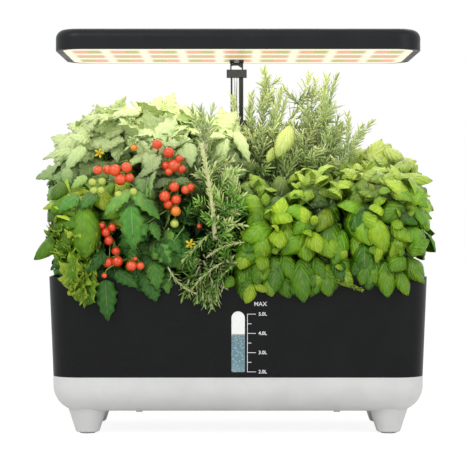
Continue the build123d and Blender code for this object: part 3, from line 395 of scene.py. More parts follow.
# tomato flower petals: thin, matt yellow
PETAL = moulded("flower_petal", "#E3C728", "#F2DF4E", 0.55, 1.5, 0.05)
# grow sponge: open-celled peat foam, dark brown and damp
SPONGE = moulded("grow_sponge", "#3A2C1F", "#57422C", 0.85, 1.6, 0.9)
# scale print: off-white pad-printed ink
INK = moulded("scale_ink", "#E4E6E8", "#F2F3F4", 0.5, 0.6, 0.01)

for node in frame["nodes"].values():
    for place in node.material_slots:
        if place.material:
            slot_name = place.material.name.split(".")[0]
            grown = LEAVES.get(slot_name.replace("_leaves", ""), FINISHES["basket_plastic"])
            place.material = FINISHES.get(slot_name, grown)


# ---------------------------------------------------------------- shapes that grow

def add_object(name, data):
    """A new object in the scene."""
    made = bpy.data.objects.new(name, data)
    bpy.context.scene.collection.objects.link(made)
    return made


def in_view(pixel_x, pixel_y, depth):
    """The place, in mm, that lies at a pixel of the camera's frame and at a depth along Y."""
    scale = (depth - CAMERA_PLACE[1]) / FOCAL_PIXELS
    height = CAMERA_PLACE[2] + (HORIZON_PIXEL - pixel_y) * scale
    return np.array([(pixel_x - MIDDLE_PIXEL) * scale, depth, height])


def unit(vector):
    """The same way, one long."""
    return vector / max(np.linalg.norm(vector), 1e-9)


def held(tone):
    """A tone held between 0 and 1."""
    return min(1.0, max(0.0, tone))


def roof_over(kind, x):
    """The height that a kind's leaves reach at a place along the garden."""
    return np.interp(x, *LEAF_ROOFS.get(kind, NO_ROOF))


def depth_in_leaves(places, kind):
    """How deep each place lies among a kind's leaves, which sets its painted shade: 0 at their open side, 1
    well inside, and at least the painted low shade below LOW_SHADE_Z.
    """
    found = [open_sides.find_nearest(Vector(place)) for place in places]
    inward = np.array([(near[0] - Vector(place)).dot(near[1]) for near, place in zip(found, places)])
    inward = np.minimum(inward, roof_over(kind, places[:, 0]) + ROOF_SLACK - places[:, 2])
    low = np.clip((LOW_SHADE_Z - places[:, 2]) / LOW_SHADE_SPAN, 0.0, 1.0) * LOW_SHADE
    return np.maximum(np.clip((inward - SHADE_START) / SHADE_DEPTH, 0.0, 1.0), low)


class Growth:
    """Leaves, stems or fruit of one plant, gathered into one mesh."""

    def __init__(self):
        self.points, self.faces, self.places, self.tones, self.count = [], [], [], [], 0

    def add(self, points, faces, places, tone):
        """Takes in points, the faces between them, their places on the leaf and their tone."""
        self.points.append(points)
        self.faces += [tuple(k + self.count for k in face) for face in faces]
        self.places.append(places)
        self.tones.append(np.zeros(len(points)) + tone)
        self.count += len(points)

    def build(self, name, material, body, thickness=0.0, kind=""):
        """One object of all that was taken in, on a body, with painted shade by its depth among a kind's
        leaves.
        """
        mesh = bpy.data.meshes.new(name)
        mesh.from_pydata((np.concatenate(self.points) * MM).tolist(), [], self.faces)
        mesh.polygons.foreach_set("use_smooth", [True] * len(mesh.polygons))
        corners = np.zeros(len(mesh.loops), int)
        mesh.loops.foreach_get("vertex_index", corners)
        leaf_map = mesh.uv_layers.new(name="leaf_place")
        leaf_map.data.foreach_set("uv", np.concatenate(self.places)[corners].ravel())
        tone = mesh.attributes.new("tone", "FLOAT", "POINT")
        tone.data.foreach_set("value", np.concatenate(self.tones))
        shade = mesh.attributes.new("shade", "FLOAT", "POINT")
        shade.data.foreach_set("value", depth_in_leaves(np.concatenate(self.points), kind))
        mesh.materials.append(material)
        made = add_object(name, mesh)
        if thickness:
            solid = made.modifiers.new("thickness", "SOLIDIFY")
            solid.thickness, solid.offset = thickness * MM, 0.0
        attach(made, body)
        return made


def grid_faces(rows, columns, wrap=False):
    """Quads of a grid of points, closed round its columns when wrap is set."""
    across = columns if wrap else columns - 1
    return [(r * columns + c, r * columns + (c + 1) % columns,
             (r + 1) * columns + (c + 1) % columns, (r + 1) * columns + c)
            for r in range(rows - 1) for c in range(across)]


def add_tube(grown, path, radii, sides=6, tone=0.5):
    """A closed round stem along a path, with a radius at each of its points."""
    path = np.array(path, float)
    heading = np.gradient(path, axis=0)
    heading /= np.linalg.norm(heading, axis=1)[:, None]
    side = np.cross(heading, (0.31, 0.88, 0.36))
    side /= np.linalg.norm(side, axis=1)[:, None]
    other = np.cross(heading, side)
    turn = np.linspace(0, 2 * math.pi, sides, endpoint=False)
    radii = np.interp(np.linspace(0, 1, len(path)), np.linspace(0, 1, len(radii)), radii)
    ring = (side[:, None, :] * np.cos(turn)[None, :, None] + other[:, None, :] * np.sin(turn)[None, :, None])
    points = (path[:, None, :] + ring * radii[:, None, None]).reshape(-1, 3)
    count = len(points)
    last = (len(path) - 1) * sides
    faces = grid_faces(len(path), sides, wrap=True)
    faces += [((k + 1) % sides, k, count) for k in range(sides)]
    faces += [(last + k, last + (k + 1) % sides, count + 1) for k in range(sides)]
    points = np.vstack([points, path[0], path[-1]])
    along = np.repeat(np.linspace(0, 1, len(path)), sides)
    places = np.stack([np.append(along, (0, 1)), np.full(count + 2, 0.5)], axis=1)
    grown.add(points, faces, places, tone)


def arc_path(start, via, end, steps=7):
    """Points along a smooth arc from start to end, drawn towards via."""
    t = np.linspace(0, 1, steps)[:, None]
    return (1 - t) ** 2 * np.array(start) + 2 * t * (1 - t) * np.array(via) + t ** 2 * np.array(end)


# rim is painted light and shade: each leaf pales towards its edges and darkens along its middle, as where
# raised frills catch the light.
LEAF_SHAPES = {
    "basil": dict(rows=14, columns=7, base=0.5, tip=0.68, dome=0.85, droop=1.0, pucker=0.05, veins=4.0,
                  ruffle=0.0, teeth=0.0, fold=0.12, rim=0.15),
    "tomato": dict(rows=16, columns=5, base=0.42, tip=0.9, dome=0.3, droop=0.9, pucker=0.045, veins=4.5,
                   ruffle=0.03, teeth=0.3, fold=0.05, rim=0.15),
    "lettuce": dict(rows=26, columns=9, base=0.6, tip=0.3, dome=-0.1, droop=1.4, pucker=0.08, veins=6.0,
                    ruffle=0.26, teeth=0.3, fold=0.1, rim=0.6),
}


def in_lid_swing(points):
    """Whether some of these places are in the way of the fill port's lid."""
    away = np.hypot(points[:, 0] - LID_HINGE_X, points[:, 2] - LID_HINGE_Z)
    return bool(((away < LID_REACH) & (np.abs(points[:, 1]) < LID_HALF_WIDTH)).any())


def hides_fruit(points, spare=1.0):
    """Whether some of these places stand in front of the fruit, the flowers, the mast or the printed word."""
    scale = FOCAL_PIXELS / (points[:, 1] - CAMERA_PLACE[1])
    x = MIDDLE_PIXEL + points[:, 0] * scale
    y = HORIZON_PIXEL - (points[:, 2] - CAMERA_PLACE[2]) * scale
    away = np.hypot(x[:, None] - KEPT_CLEAR[:, 0], y[:, None] - KEPT_CLEAR[:, 1])
    in_front = points[:, 1, None] < KEPT_CLEAR[:, 3] + 7
    return bool(((away < KEPT_CLEAR[:, 2] + spare) & in_front).any())


def add_leaf(grown, kind, base, tip, face, width, tone, phase=0.0, droop=None, kept=False):
    """One leaf from base to tip, its upper side towards face; False, and left out, where it hides fruit."""
    shape = LEAF_SHAPES[kind]
    base, tip = np.array(base, float), np.array(tip, float)
    bend = shape["droop"] if droop is None else droop
    chord = tip - base
    reach = np.linalg.norm(chord)
    chord = chord / reach
    normal = unit(np.array(face, float) - chord * np.dot(face, chord))
    length = reach * (bend / 2) / math.sin(bend / 2)
    heading = chord * math.cos(bend / 2) + normal * math.sin(bend / 2)
    normal = normal * math.cos(bend / 2) - chord * math.sin(bend / 2)
    side = np.cross(normal, heading)
    u = np.linspace(0.006, 0.994, shape["rows"] + 1)[:, None]
    v = np.linspace(-1, 1, shape["columns"])[None, :]
    peak = shape["base"] / (shape["base"] + shape["tip"])
    widest = peak ** shape["base"] * (1 - peak) ** shape["tip"]
    half = width / 2 * u ** shape["base"] * (1 - u) ** shape["tip"] / widest
    lobe = 1 - shape["teeth"] * np.abs(np.cos(math.pi * shape["veins"] * (u + 0.03)))
    edge = np.abs(v)
    frill = (np.sin(2 * math.pi * 3.2 * u + phase + 1.3 * np.sign(v))
             + 0.5 * np.sin(2 * math.pi * 5.6 * u + 2 * phase))
    lift = (-shape["dome"] * half * edge ** 2 + shape["fold"] * half * edge
            + shape["pucker"] * width * np.sin(math.pi * shape["veins"] * (u - 0.28 * edge)) ** 2
            * 4 * edge * (1 - edge)
            + shape["ruffle"] * width * edge ** 3 * frill)
    turn = bend * u
    axis = base + heading * length * np.sin(turn) / bend - normal * length * (1 - np.cos(turn)) / bend
    up = normal * np.cos(turn) + heading * np.sin(turn)
    points = (axis[:, None, :] + side[None, None, :] * (v * half * lobe)[:, :, None]
              + up[:, None, :] * lift[:, :, None]).reshape(-1, 3)
    places = np.stack(np.broadcast_arrays(u, v / 2 + 0.5), axis=-1).reshape(-1, 2)
    shown = kept or not (hides_fruit(points) or in_lid_swing(points))
    if shown:
        # Painted light on the edges and painted shade along the middle, by rim.
        tones = np.clip(np.broadcast_to(tone + shape["rim"] * (edge ** 2 - 0.4), lift.shape), 0, 1).ravel()
        grown.add(points, grid_faces(shape["rows"] + 1, shape["columns"]), places, tones)
    return shown


def add_needle(grown, base, heading, length, width, face, tone):
    """One rosemary needle: a slim closed blade that is widest near its middle."""
    side = unit(np.cross(face, heading))
    up = np.cross(heading, side)
    rings = []
    for along, half in ((0.25, 0.9), (0.7, 1.0)):
        middle = base + heading * length * along - up * length * 0.08 * along ** 2
        rings += [middle + side * width / 2 * half, middle + up * width * 0.22,
                  middle - side * width / 2 * half, middle - up * width * 0.14]
    points = np.array([base] + rings + [base + heading * length - up * length * 0.1])
    faces = [(0, 1 + (k + 1) % 4, 1 + k) for k in range(4)]
    faces += [(1 + k, 1 + (k + 1) % 4, 5 + (k + 1) % 4, 5 + k) for k in range(4)]
    faces += [(5 + k, 5 + (k + 1) % 4, 9) for k in range(4)]
    ring = (1, 0.5, 0, 0.2)
    places = np.array([(0, 0.5)] + [(along, s) for along in (0.3, 0.7) for s in ring] + [(1, 0.5)])
    grown.add(points, faces, places, tone)


def add_sprig(needles, wood, path, tone, rng, needle, bare=0.12, radius=1.1):
    """A rosemary sprig: a thin woody stem with pairs of needles turned a quarter from pair to pair."""
    path = np.array(path, float)
    gaps = np.linalg.norm(np.diff(path, axis=0), axis=1)
    length = gaps.sum()
    along = np.concatenate([[0], np.cumsum(gaps)])
    add_tube(wood, path, (radius, radius * 0.5), sides=6, tone=tone)
    count = int(length * (1 - bare) / NEEDLE_SPACING)
    for k in range(count):
        at = length * bare + NEEDLE_SPACING * k
        middle = np.array([np.interp(at, along, path[:, a]) for a in range(3)])
        ahead = np.array([np.interp(min(at + 3, length), along, path[:, a]) for a in range(3)])
        heading = unit(ahead - middle) if at + 1 < length else unit(path[-1] - path[-2])
        side = unit(np.cross(heading, (0.3, 0.2, 0.93)))
        other = np.cross(heading, side)
        young = at / length
        turn = k * math.pi / 2 + rng.uniform(-0.35, 0.35)
        for flip in (0, math.pi):
            out = side * math.cos(turn + flip) + other * math.sin(turn + flip)
            lean = rng.uniform(0.55, 0.95) * (1 - 0.45 * young)
            aim = unit(heading * math.cos(lean) + out * math.sin(lean))
            size = needle * rng.uniform(0.75, 1.1) * (1 - 0.35 * young)
            shown_tone = held(tone + 0.35 * young + rng.uniform(-0.35, 0.35))
            add_needle(needles, middle, aim, size, NEEDLE_WIDTH, heading, shown_tone)


# ---------------------------------------------------------------- plants

# Fruit by pixel and radius, truss by truss: depth along Y, ripeness, and the fruit.
TRUSSES = {
    "tomato_front_2": [
        (-78.0, 0.82, [(97.8, 170.2, 4.7), (108.0, 169.8, 5.0), (114.6, 170.2, 6.0), (126.6, 167.6, 5.5),
                       (120.6, 179.7, 6.0), (129.7, 178.0, 4.5)]),
        (-70.0, 0.84, [(157.1, 144.5, 5.0), (168.8, 152.5, 5.5), (179.5, 158.8, 4.0), (166.0, 165.9, 4.5),
                       (174.1, 165.9, 6.5), (181.7, 169.5, 4.5), (168.8, 172.0, 4.0)]),
        (-82.0, 0.84, [(174.1, 186.9, 5.0), (191.0, 187.3, 4.0), (185.7, 190.0, 4.5), (164.7, 196.3, 5.5),
                       (176.3, 199.8, 5.0), (168.3, 204.3, 5.0)]),
        (-84.0, 0.45, [(175.9, 211.4, 5.0)]),
        (-62.0, 0.5, [(134.0, 147.8, 3.5)]),
        (-84.0, 0.95, [(101.9, 225.8, 3.5), (112.2, 227.6, 4.0), (105.9, 232.7, 4.5), (108.8, 240.8, 4.5),
                       (115.9, 251.3, 4.5), (107.6, 262.6, 5.5), (117.4, 261.4, 5.5)]),
        (-90.0, 0.85, [(131.4, 266.0, 5.3), (140.4, 266.0, 4.0), (135.2, 259.1, 2.5), (104.2, 275.8, 2.8)]),
        (-82.0, 0.9, [(199.5, 226.4, 2.5)]),
        (-84.0, 0.08, [(92.6, 182.3, 4.0), (102.0, 181.4, 4.0), (93.9, 190.4, 4.0), (101.2, 190.4, 4.0),
                       (118.5, 194.7, 4.0), (133.5, 191.7, 4.0)]),
        (-84.0, 0.1, [(174.6, 223.9, 4.2)]),
    ],
    "tomato_rear_3": [(-6.0, 0.84, [(214.3, 166.8, 4.0)])],
}
FLOWERS = {"tomato_front_2": [(190.3, 244.2, -90.0)], "tomato_rear_1": [(99.5, 153.4, -20.0)]}
# What leaves keep clear of, by pixel, radius and depth: fruit, flowers, the printed word and the mast.
KEPT_CLEAR = np.array([(*fruit, depth) for depth, _, bunch in TRUSSES["tomato_front_2"] for fruit in bunch]
                      + [(x, y, 3.0, depth) for flowers in FLOWERS.values() for x, y, depth in flowers]
                      + [(x, 305.0, 4.0, -90.0) for x in (254.0, 260.0, 266.0)]
                      + [(x, 74.0, 5.0, 60.0) for x in (230.0, 238.0, 246.0)]
                      + [(237.0, y, 7.0, 60.0) for y in (85.0, 95.0)])
# How high each kind's leaves reach along the garden: places along X and heights, in mm.
LEAF_ROOFS = {
    "tomato": ((-207, -188, -160, -138, -74, -46, 0), (266, 284, 310, 325, 330, 316, 308)),
    "lettuce": ((-207, -188, -108), (262, 272, 284)),
    "basil": ((60, 92, 140, 150, 180, 205), (264, 270, 280, 284, 274, 256)),
}
NO_ROOF = ((0,), (1000,))

# Leaves that show whole: foot and tip by pixel, width in mm, depth of foot and tip along Y, tone.
SHOWN_LEAVES = {
    "basil_rear_6": [
        (383, 149, 404, 159, 17, 20, 5, 0.55), (394, 178, 433, 181, 18, 10, -5, 0.75),
        (392, 182, 418, 205, 22, 5, -5, 0.8), (385, 180, 366, 188, 12, 0, -6, 0.8)],
    "basil_front_6": [
        (356, 203, 371, 246, 31, -70, -92, 0.55), (404, 214, 392, 262, 22, -72, -90, 0.72),
        (414, 218, 408, 252, 15, -66, -84, 0.6), (414, 207, 429, 231, 17, -60, -72, 0.5),
        (418, 232, 424, 258, 10, -60, -74, 0.4), (385, 230, 376, 264, 12, -80, -93, 0.85),
        (385, 262, 388, 298, 21, -88, -96, 0.5), (398, 270, 408, 296, 15, -88, -96, 0.55),
        (409, 265, 425, 284, 9, -84, -90, 0.6), (371, 262, 376, 284, 12, -88, -94, 0.6)],
    "basil_front_5": [
        (326, 215, 331, 256, 27, -72, -92, 0.4), (343, 230, 334, 266, 20, -78, -93, 0.4),
        (303, 228, 308, 262, 26, -74, -92, 0.6), (300, 262, 304, 303, 24, -88, -96, 0.35),
        (325, 268, 329, 297, 20, -88, -96, 0.4), (362, 245, 371, 276, 20, -76, -90, 0.25),
        (300, 186, 332, 196, 24, -50, -66, 0.7), (334, 204, 341, 240, 26, -20, -28, 0.0)],
    "basil_front_4": [
        (284, 214, 290, 242, 31, -70, -90, 0.65), (262, 258, 264, 281, 18, -86, -95, 0.55),
        (268, 276, 272, 297, 15, -88, -96, 0.65), (252, 284, 246, 304, 14, -90, -97, 0.9),
        (254, 284, 268, 292, 9, -90, -97, 0.9), (246, 250, 240, 270, 18, -88, -95, 0.85),
        (291, 126, 277, 158, 19, -10, -24, 0.55), (274, 148, 268, 163, 10, -8, -16, 0.7),
        (232, 276, 226, 288, 12, -90, -96, 0.45),
        (279, 176, 286, 208, 24, -12, -20, 0.0)],
    "tomato_rear_1": [
        (78, 150, 43, 160, 15, -4, -20, 0.5), (84, 146, 66, 172, 20, -6, -26, 0.6),
        (90, 140, 70, 138, 18, 0, -10, 0.8), (66, 168, 70, 190, 16, -30, -40, 0.3),
        (86, 176, 72, 190, 15, -40, -52, 0.95), (138, 114, 104, 108, 13, 10, 0, 1.0),
        (118, 117, 81, 121, 12, 5, -5, 0.9)],
    "tomato_rear_2": [(152, 116, 168, 102, 9, 14, 8, 0.3), (170, 118, 178, 112, 10, 10, 0, 0.8)],
    "tomato_front_2": [
        (140, 112, 108, 118, 14, -30, -46, 0.98), (150, 150, 148, 176, 18, -60, -72, 0.55),
        (142, 174, 146, 200, 24, -70, -84, 0.5), (130, 190, 104, 216, 18, -84, -92, 0.65),
        (134, 192, 160, 220, 20, -84, -92, 0.55), (131, 206, 134, 252, 30, -88, -95, 0.5),
        (78, 196, 58, 212, 20, -80, -90, 0.5), (96, 192, 80, 210, 18, -80, -90, 0.25),
        (105, 280, 108, 322, 26, -90, -97, 0.3), (104, 252, 84, 276, 20, -86, -94, 0.15),
        (116, 272, 138, 288, 20, -88, -95, 0.28), (150, 282, 156, 302, 22, -88, -95, 0.3),
        (160, 240, 172, 268, 22, -84, -93, 0.25), (180, 246, 192, 268, 18, -84, -93, 0.35),
        (120, 196, 112, 214, 16, -84, -92, 0.75), (96, 258, 98, 288, 24, -74, -80, 0.3),
        (112, 262, 120, 294, 26, -74, -80, 0.25), (132, 262, 140, 292, 26, -78, -84, 0.3),
        (150, 250, 148, 280, 22, -78, -84, 0.2), (90, 276, 92, 298, 20, -80, -88, 0.2),
        (184, 248, 188, 280, 26, -66, -70, 0.1), (172, 254, 176, 284, 24, -64, -68, 0.1),
        (178, 214, 197, 226, 18, -64, -74, 0.45), (207, 212, 196, 236, 19, -62, -72, 0.4),
        (182, 228, 186, 252, 20, -66, -78, 0.4), (203, 230, 206, 254, 18, -62, -74, 0.35)],
    "tomato_rear_3": [(226, 138, 216, 174, 18, -4, -20, 0.95), (236, 132, 250, 164, 16, -4, -18, 0.9)],
}

# Broad smooth leaves that show whole, in the same terms.
BROAD_LEAVES = {
    "lettuce_front_1": [
        (84, 206, 85, 260, 34, -84, -94, 0.4), (76, 216, 62, 250, 26, -80, -90, 0.45),
        (66, 232, 34, 260, 19, -74, -86, 0.35), (74, 198, 50, 212, 22, -70, -80, 0.3),
        (64, 182, 52, 200, 18, -60, -70, 0.1)],
}

# Sprigs that show whole: foot, bend and tip by pixel, depth along Y, tone, needle length and stem radius.
SHOWN_SPRIGS = {
    "rosemary_front_3": [
        ((215, 240), (213, 195), (201, 143), -98, 0.95, 13, 2.5),
        ((252, 243), (228, 240), (206, 258), -97, 1.0, 7, 0.8),
        ((168, 267), (176, 286), (196, 294), -98, 1.0, 9, 0.8),
        ((224, 262), (204, 272), (190, 292), -98, 0.8, 11, 0.8),
        ((240, 262), (226, 268), (212, 290), -97, 0.3, 13, 0.7),
        ((212, 232), (196, 246), (182, 262), -96, 0.6, 14, 0.8),
        ((214, 222), (226, 206), (244, 196), -94, 0.4, 16, 0.8),
        ((211, 206), (222, 190), (228, 170), -90, 0.5, 16, 0.8),
        ((214, 228), (228, 222), (246, 226), -94, 0.7, 14, 0.8),
        ((205, 150), (198, 125), (191, 107), -60, 0.2, 15, 0.8),
        ((206, 150), (206, 125), (199, 105), -60, 0.1, 15, 0.8),
        ((207, 150), (208, 125), (214, 104), -60, 0.3, 15, 0.8)],
    "rosemary_rear_4": [
        ((262, 160), (262, 110), (267, 75), 30, 0.15, 17, 0.9),
        ((270, 160), (280, 120), (287, 98), 20, 0.6, 16, 0.9),
        ((246, 160), (236, 125), (233, 96), 44, 0.7, 16, 0.9),
        ((252, 160), (250, 120), (252, 92), 40, 0.8, 16, 0.9),
        ((280, 160), (272, 130), (276, 104), 10, 0.5, 16, 0.9),
        ((292, 190), (284, 170), (280, 146), 0, 0.4, 17, 0.9),
        ((280, 192), (290, 170), (298, 150), 0, 0.6, 17, 0.9),
        ((286, 180), (286, 160), (292, 138), 6, 0.3, 17, 0.9),
        ((276, 170), (284, 150), (290, 122), 20, 0.5, 17, 0.9),
        ((296, 170), (288, 150), (284, 124), 24, 0.3, 17, 0.9)],
    "rosemary_rear_5": [
        ((322, 160), (326, 110), (337, 77), 30, 0.1, 17, 0.9),
        ((303, 150), (302, 120), (310, 103), 20, 0.15, 15, 0.9),
        ((332, 160), (334, 130), (340, 113), 20, 0.3, 15, 0.9),
        ((340, 165), (352, 140), (348, 114), 10, 0.4, 15, 0.9),
        ((342, 165), (356, 142), (374, 120), 6, 0.5, 15, 0.9),
        ((336, 168), (352, 150), (362, 126), 0, 0.3, 15, 0.9)],
    "basil_front_5": [((326, 275), (342, 282), (364, 291), -98, 0.95, 8, 0.6)],
}

# What a basil shoot's leaf pairs have, from below: share of its size, way back from its tip, rise and bend.
SHOOT_PAIRS = ((1.0, 13.0, 0.05, 2.0), (0.75, 7.0, 0.45, 1.7), (0.38, 1.0, 1.1, 0.9))
# Where a tomato leaf's pairs of leaflets stand on its midrib, and their share of its size.
LEAFLET_PAIRS = ((0.8, 0.85), (0.36, 0.75))
NEEDLE_SPACING, NEEDLE_WIDTH = 3.2, 2.3
LEAF_THICKNESS = 0.3
# The turn between the five petals of a flower and the five sepals of a fruit.
FIFTH_TURN = 1.257

UP = np.array([0.0, 0.0, 1.0])
TOWARDS_ROOM = np.array([0.0, -0.8, 0.6])
# The crowns' upright corners are cut by this much. Leaves fill the grooves, but not at the garden's own ends.
CORNER_CUT = 13.0
GARDEN_ENDS = (-200.0, 186.0)
# How far off its crown a ray starts, and how far it looks for crowns in its way.
OFF_CROWN, LOOK_OUT = 0.3, 40.0
# How many places are tried for each one taken, and the share of those with a crown before them that count.
SITE_TRIES, FACING_SHARE = 5, 0.04
# Heights, and how far from the middle leaves may start there.
WIDEST_SITES = ((165.0, 205.0), (170.0, 187.0))
# Leaves over the rim: how far along the garden, how high and how far out they start, how far out they end,
# and how far they hang. Those over the fill lid start higher.
RIM_LEAF_X, RIM_LEAF_Z, RIM_LEAF_FOOT_Y, RIM_LEAF_TIP_Y = (-170.0, 154.0), (166, 186), (72, 84), (90, 97)
RIM_LEAF_HANG, END_LEAF_RISE = (24, 36), 10
# Low leaves: how far along the garden, how far inside the crown and over its foot, how far they hang.
LOW_LEAF_X, LOW_LEAF_INSET, LOW_LEAF_RISE, LOW_LEAF_HANG = (-164.0, 156.0), 24, (6, 26), (20, 26)
LOW_LEAF_WIDTH, LOW_LEAF_DROP = 24.0, 9
# Above this share of a crown's height few sprigs stay.
HIGH_SPRIGS = 0.72
# How much farther than its stem a sprig reaches, in pixels.
SPRIG_SPARE = 6.0
# What lifted leaves leave free under the lamp.
LAMP_GAP = 2.0


def crown_surface(node, foot):
    """Corners of the triangles round a plant's leafy space, in mm, without its underside."""
    mesh = frame["nodes"][node].data
    mesh.calc_loop_triangles()
    places = np.array([v.co for v in mesh.vertices]) / MM
    corners = places[np.array([t.vertices[:] for t in mesh.loop_triangles])]
    heights = corners[..., 2]
    return corners[(heights.min(axis=1) > foot - 1) & (heights.max(axis=1) > foot + 1)]


def looks_out(place, normal):
    """Whether no crown stands close in front of a place on a crown."""
    return crowns.ray_cast(Vector(place + normal * OFF_CROWN), Vector(normal), LOOK_OUT)[0] is None


class Plant:
    """One plant: its pod, the space of its crown, and what has grown on it so far."""

    def __init__(self, node):
        self.node = node
        self.kind, row, column = node.split("_")
        self.body = f"pod_{row}_{column}"
        self.side = -1 if row == "front" else 1
        self.low, self.high = (np.array(corner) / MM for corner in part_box(node))
        self.root = np.array([POD_PITCH * (int(column) - 3.5), POD_ROW_Y * self.side, SPONGE_TOP])
        self.crown_foot = END_CROWN_FOOT if column == "6" else CROWN_FOOT
        self.surface = crown_surface(node, self.crown_foot)
        self.open_area = 0.0
        self.leaves, self.stems, self.fruit, self.petals = Growth(), Growth(), Growth(), Growth()
        self.rng = random.Random(node)

    def sites(self, count, deep=0.0, jitter=0.0):
        """Well-spread places inside the crown's open surface: place, way out, and share of the height."""
        rng = self.rng
        a, b, c = (self.surface[:, k] for k in range(3))
        normals = np.cross(b - a, c - a)
        areas = np.linalg.norm(normals, axis=1)
        normals /= areas[:, None]
        middle = (self.low + self.high) / 2
        taken = []
        while len(taken) < count:
            best, most = None, -1.0
            for _ in range(SITE_TRIES):
                k = rng.choices(range(len(areas)), weights=areas)[0]
                r = sorted((rng.random(), rng.random()))
                place, normal = a[k] * r[0] + b[k] * (r[1] - r[0]) + c[k] * (1 - r[1]), normals[k]
                for edge, garden_end in zip((self.low[0], self.high[0]), GARDEN_ENDS):
                    groove = CORNER_CUT - abs(place[0] - edge)
                    upright = abs(normal[2]) < 0.7 and normal[1] * self.side > 0.2
                    if groove > 0 and abs(edge) < abs(garden_end) and upright:
                        place, normal = place + (0, self.side * groove, 0), unit(normal * (0.2, 1, 1))
                if looks_out(place, normal) or rng.random() < FACING_SHARE:
                    room = min((np.linalg.norm(place - other[0]) for other in taken), default=1e9)
                    if room > most:
                        best, most = (place, normal), room
            if best:
                taken.append(best)
        for place, normal in taken:
            out = unit(normal + 0.4 * unit((place - middle) * (1, 1, 0.5)))
            share = (place[2] - self.crown_foot) / (self.high[2] - self.crown_foot)
            place = place - out * (deep + rng.uniform(-2, 12)) + (rng.uniform(-jitter, jitter) * share, 0, 0)
            widest = np.interp(place[2], *WIDEST_SITES)
            place[0] = min(max(place[0], -widest), widest)
            place[2] = min(place[2], roof_over(self.kind, place[0]) - rng.uniform(0, 6))
            yield place, out, share

    def stalk(self, tip, thick=0.9):
        """A petiole from the plant's middle to a leaf's foot, inside the crown."""
        tip = np.clip(tip, self.low + 12, self.high - 14)
        start = self.root + (tip - self.root) * (0.12, 0.12, 0.0)
        start[2] = max(SPONGE_TOP + 4, tip[2] - 40)
        path = arc_path(start, (start + tip) / 2 + UP * 6, tip)
        if not hides_fruit(path):
            add_tube(self.stems, path, (thick * 1.4, thick), sides=5, tone=0.5)

    def finish(self):
        """Makes the plant's pieces; its leaves stand for the plant's node."""
        thickness = 0.0 if self.kind == "rosemary" else LEAF_THICKNESS
        made = [self.leaves.build(self.node + "_foliage", LEAVES[self.kind], self.body, thickness, self.kind)]
        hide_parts(self.node)
        top = max(points[:, 2].max() for points in self.leaves.points)
        for grown, word, material in ((self.stems, "stems", WOOD if self.kind == "rosemary" else STEM),
                                      (self.fruit, "fruit", FRUIT), (self.petals, "flowers", PETAL)):
            if grown.count:
                made.append(grown.build(f"{self.node}_{word}", material, self.body))
                top = max(top, *(points[:, 2].max() for points in grown.points))
        lift = next(joint for joint in frame["joints"] if joint["name"] == self.body + "_lift")
        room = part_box("lamp_housing")[0][2] / MM - LAMP_GAP - lift["range_m"][1] / MM
        for piece in made:
            if top > room:
                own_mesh(piece)


def grow_rim_leaves(plant, count, add):
    """Leaves that hang over the rim beside the plant; add makes one from foot, tip, face and tone."""
    rng = plant.rng
    for _ in range(count):
        x = rng.uniform(max(plant.low[0] + 8, RIM_LEAF_X[0]), min(plant.high[0] - 8, RIM_LEAF_X[1]))
        z = rng.uniform(*RIM_LEAF_Z) + (END_LEAF_RISE if plant.crown_foot == END_CROWN_FOOT else 0)
        reach = rng.uniform(*RIM_LEAF_HANG)
        foot = np.array([x, plant.side * rng.uniform(*RIM_LEAF_FOOT_Y), z])
        tip = np.array([x + rng.uniform(-14, 14), plant.side * rng.uniform(*RIM_LEAF_TIP_Y), z - reach])
        add(foot, tip, unit(np.array([0, plant.side * 0.9, 0.5])), reach, rng.uniform(0.1, 0.7))
        plant.stalk(foot)


def grow_low_leaves(plant, count):
    """Leaves that hang low in the plant's middle and close the view over the deck, darkest in tone as painted
    shade.
    """
    rng = plant.rng
    for _ in range(count):
        foot = np.array([rng.uniform(a + LOW_LEAF_INSET, b - LOW_LEAF_INSET)
                         for a, b in zip(plant.low, plant.high)])
        foot[0] = np.clip(foot[0], *LOW_LEAF_X)
        foot[2] = plant.crown_foot + rng.uniform(*LOW_LEAF_RISE)
        tip = foot + (rng.uniform(-8, 8), rng.uniform(-4, 4), -rng.uniform(*LOW_LEAF_HANG))
        tip[2] = max(tip[2], plant.crown_foot - LOW_LEAF_DROP)
        face = (rng.uniform(-0.3, 0.3), rng.choice((-1, 1)), 0.2)
        add_leaf(plant.leaves, "basil", foot, tip, face, LOW_LEAF_WIDTH, 0.0)


def grow_main_stems(plant, count, spread):
    """Upright stems from the sponge into the crown."""
    for k in range(count):
        turn = 2 * math.pi * k / count + plant.rng.uniform(-0.4, 0.4)
        way = np.array([math.cos(turn), math.sin(turn), 0.0])
        top = plant.root + way * spread
        top[2] = min(plant.high[2], roof_over(plant.kind, top[0])) - plant.rng.uniform(25, 60)
        start = plant.root + way * 4 - UP * 3
        add_tube(plant.stems, arc_path(start, (start + top) / 2 - way * 3, top, 9), (2.2, 1.2), tone=0.4)


def leaf_aim(plant, out, spread, fall):
    """The way a leaf's tip points where the crown faces out: outwards, down, and to a side."""
    rng = plant.rng
    sway = np.array([rng.uniform(-1, 1), rng.uniform(-0.4, 0.4), rng.uniform(-0.4, 0.6)]) * spread
    return unit(out * (0.15, 0.15, 0) - UP * fall * (1 - max(0.0, out[2])) + sway)


def rooted_aim(plant, place, out, length, fall):
    """An aim for a leaf that ends at place, and its foot, which lies inside the leaves."""
    for spread in (0.8, 0.8, 1.2, 1.6, 2.2, 3.0, 4.0):
        aim = leaf_aim(plant, out, spread, fall)
        foot = place - aim * length - out * 9
        if depth_in_leaves(foot[None], plant.kind)[0] > 0:
            break
    foot[2] = min(foot[2], roof_over(plant.kind, foot[0]) - ROOF_SLACK)
    return aim, foot


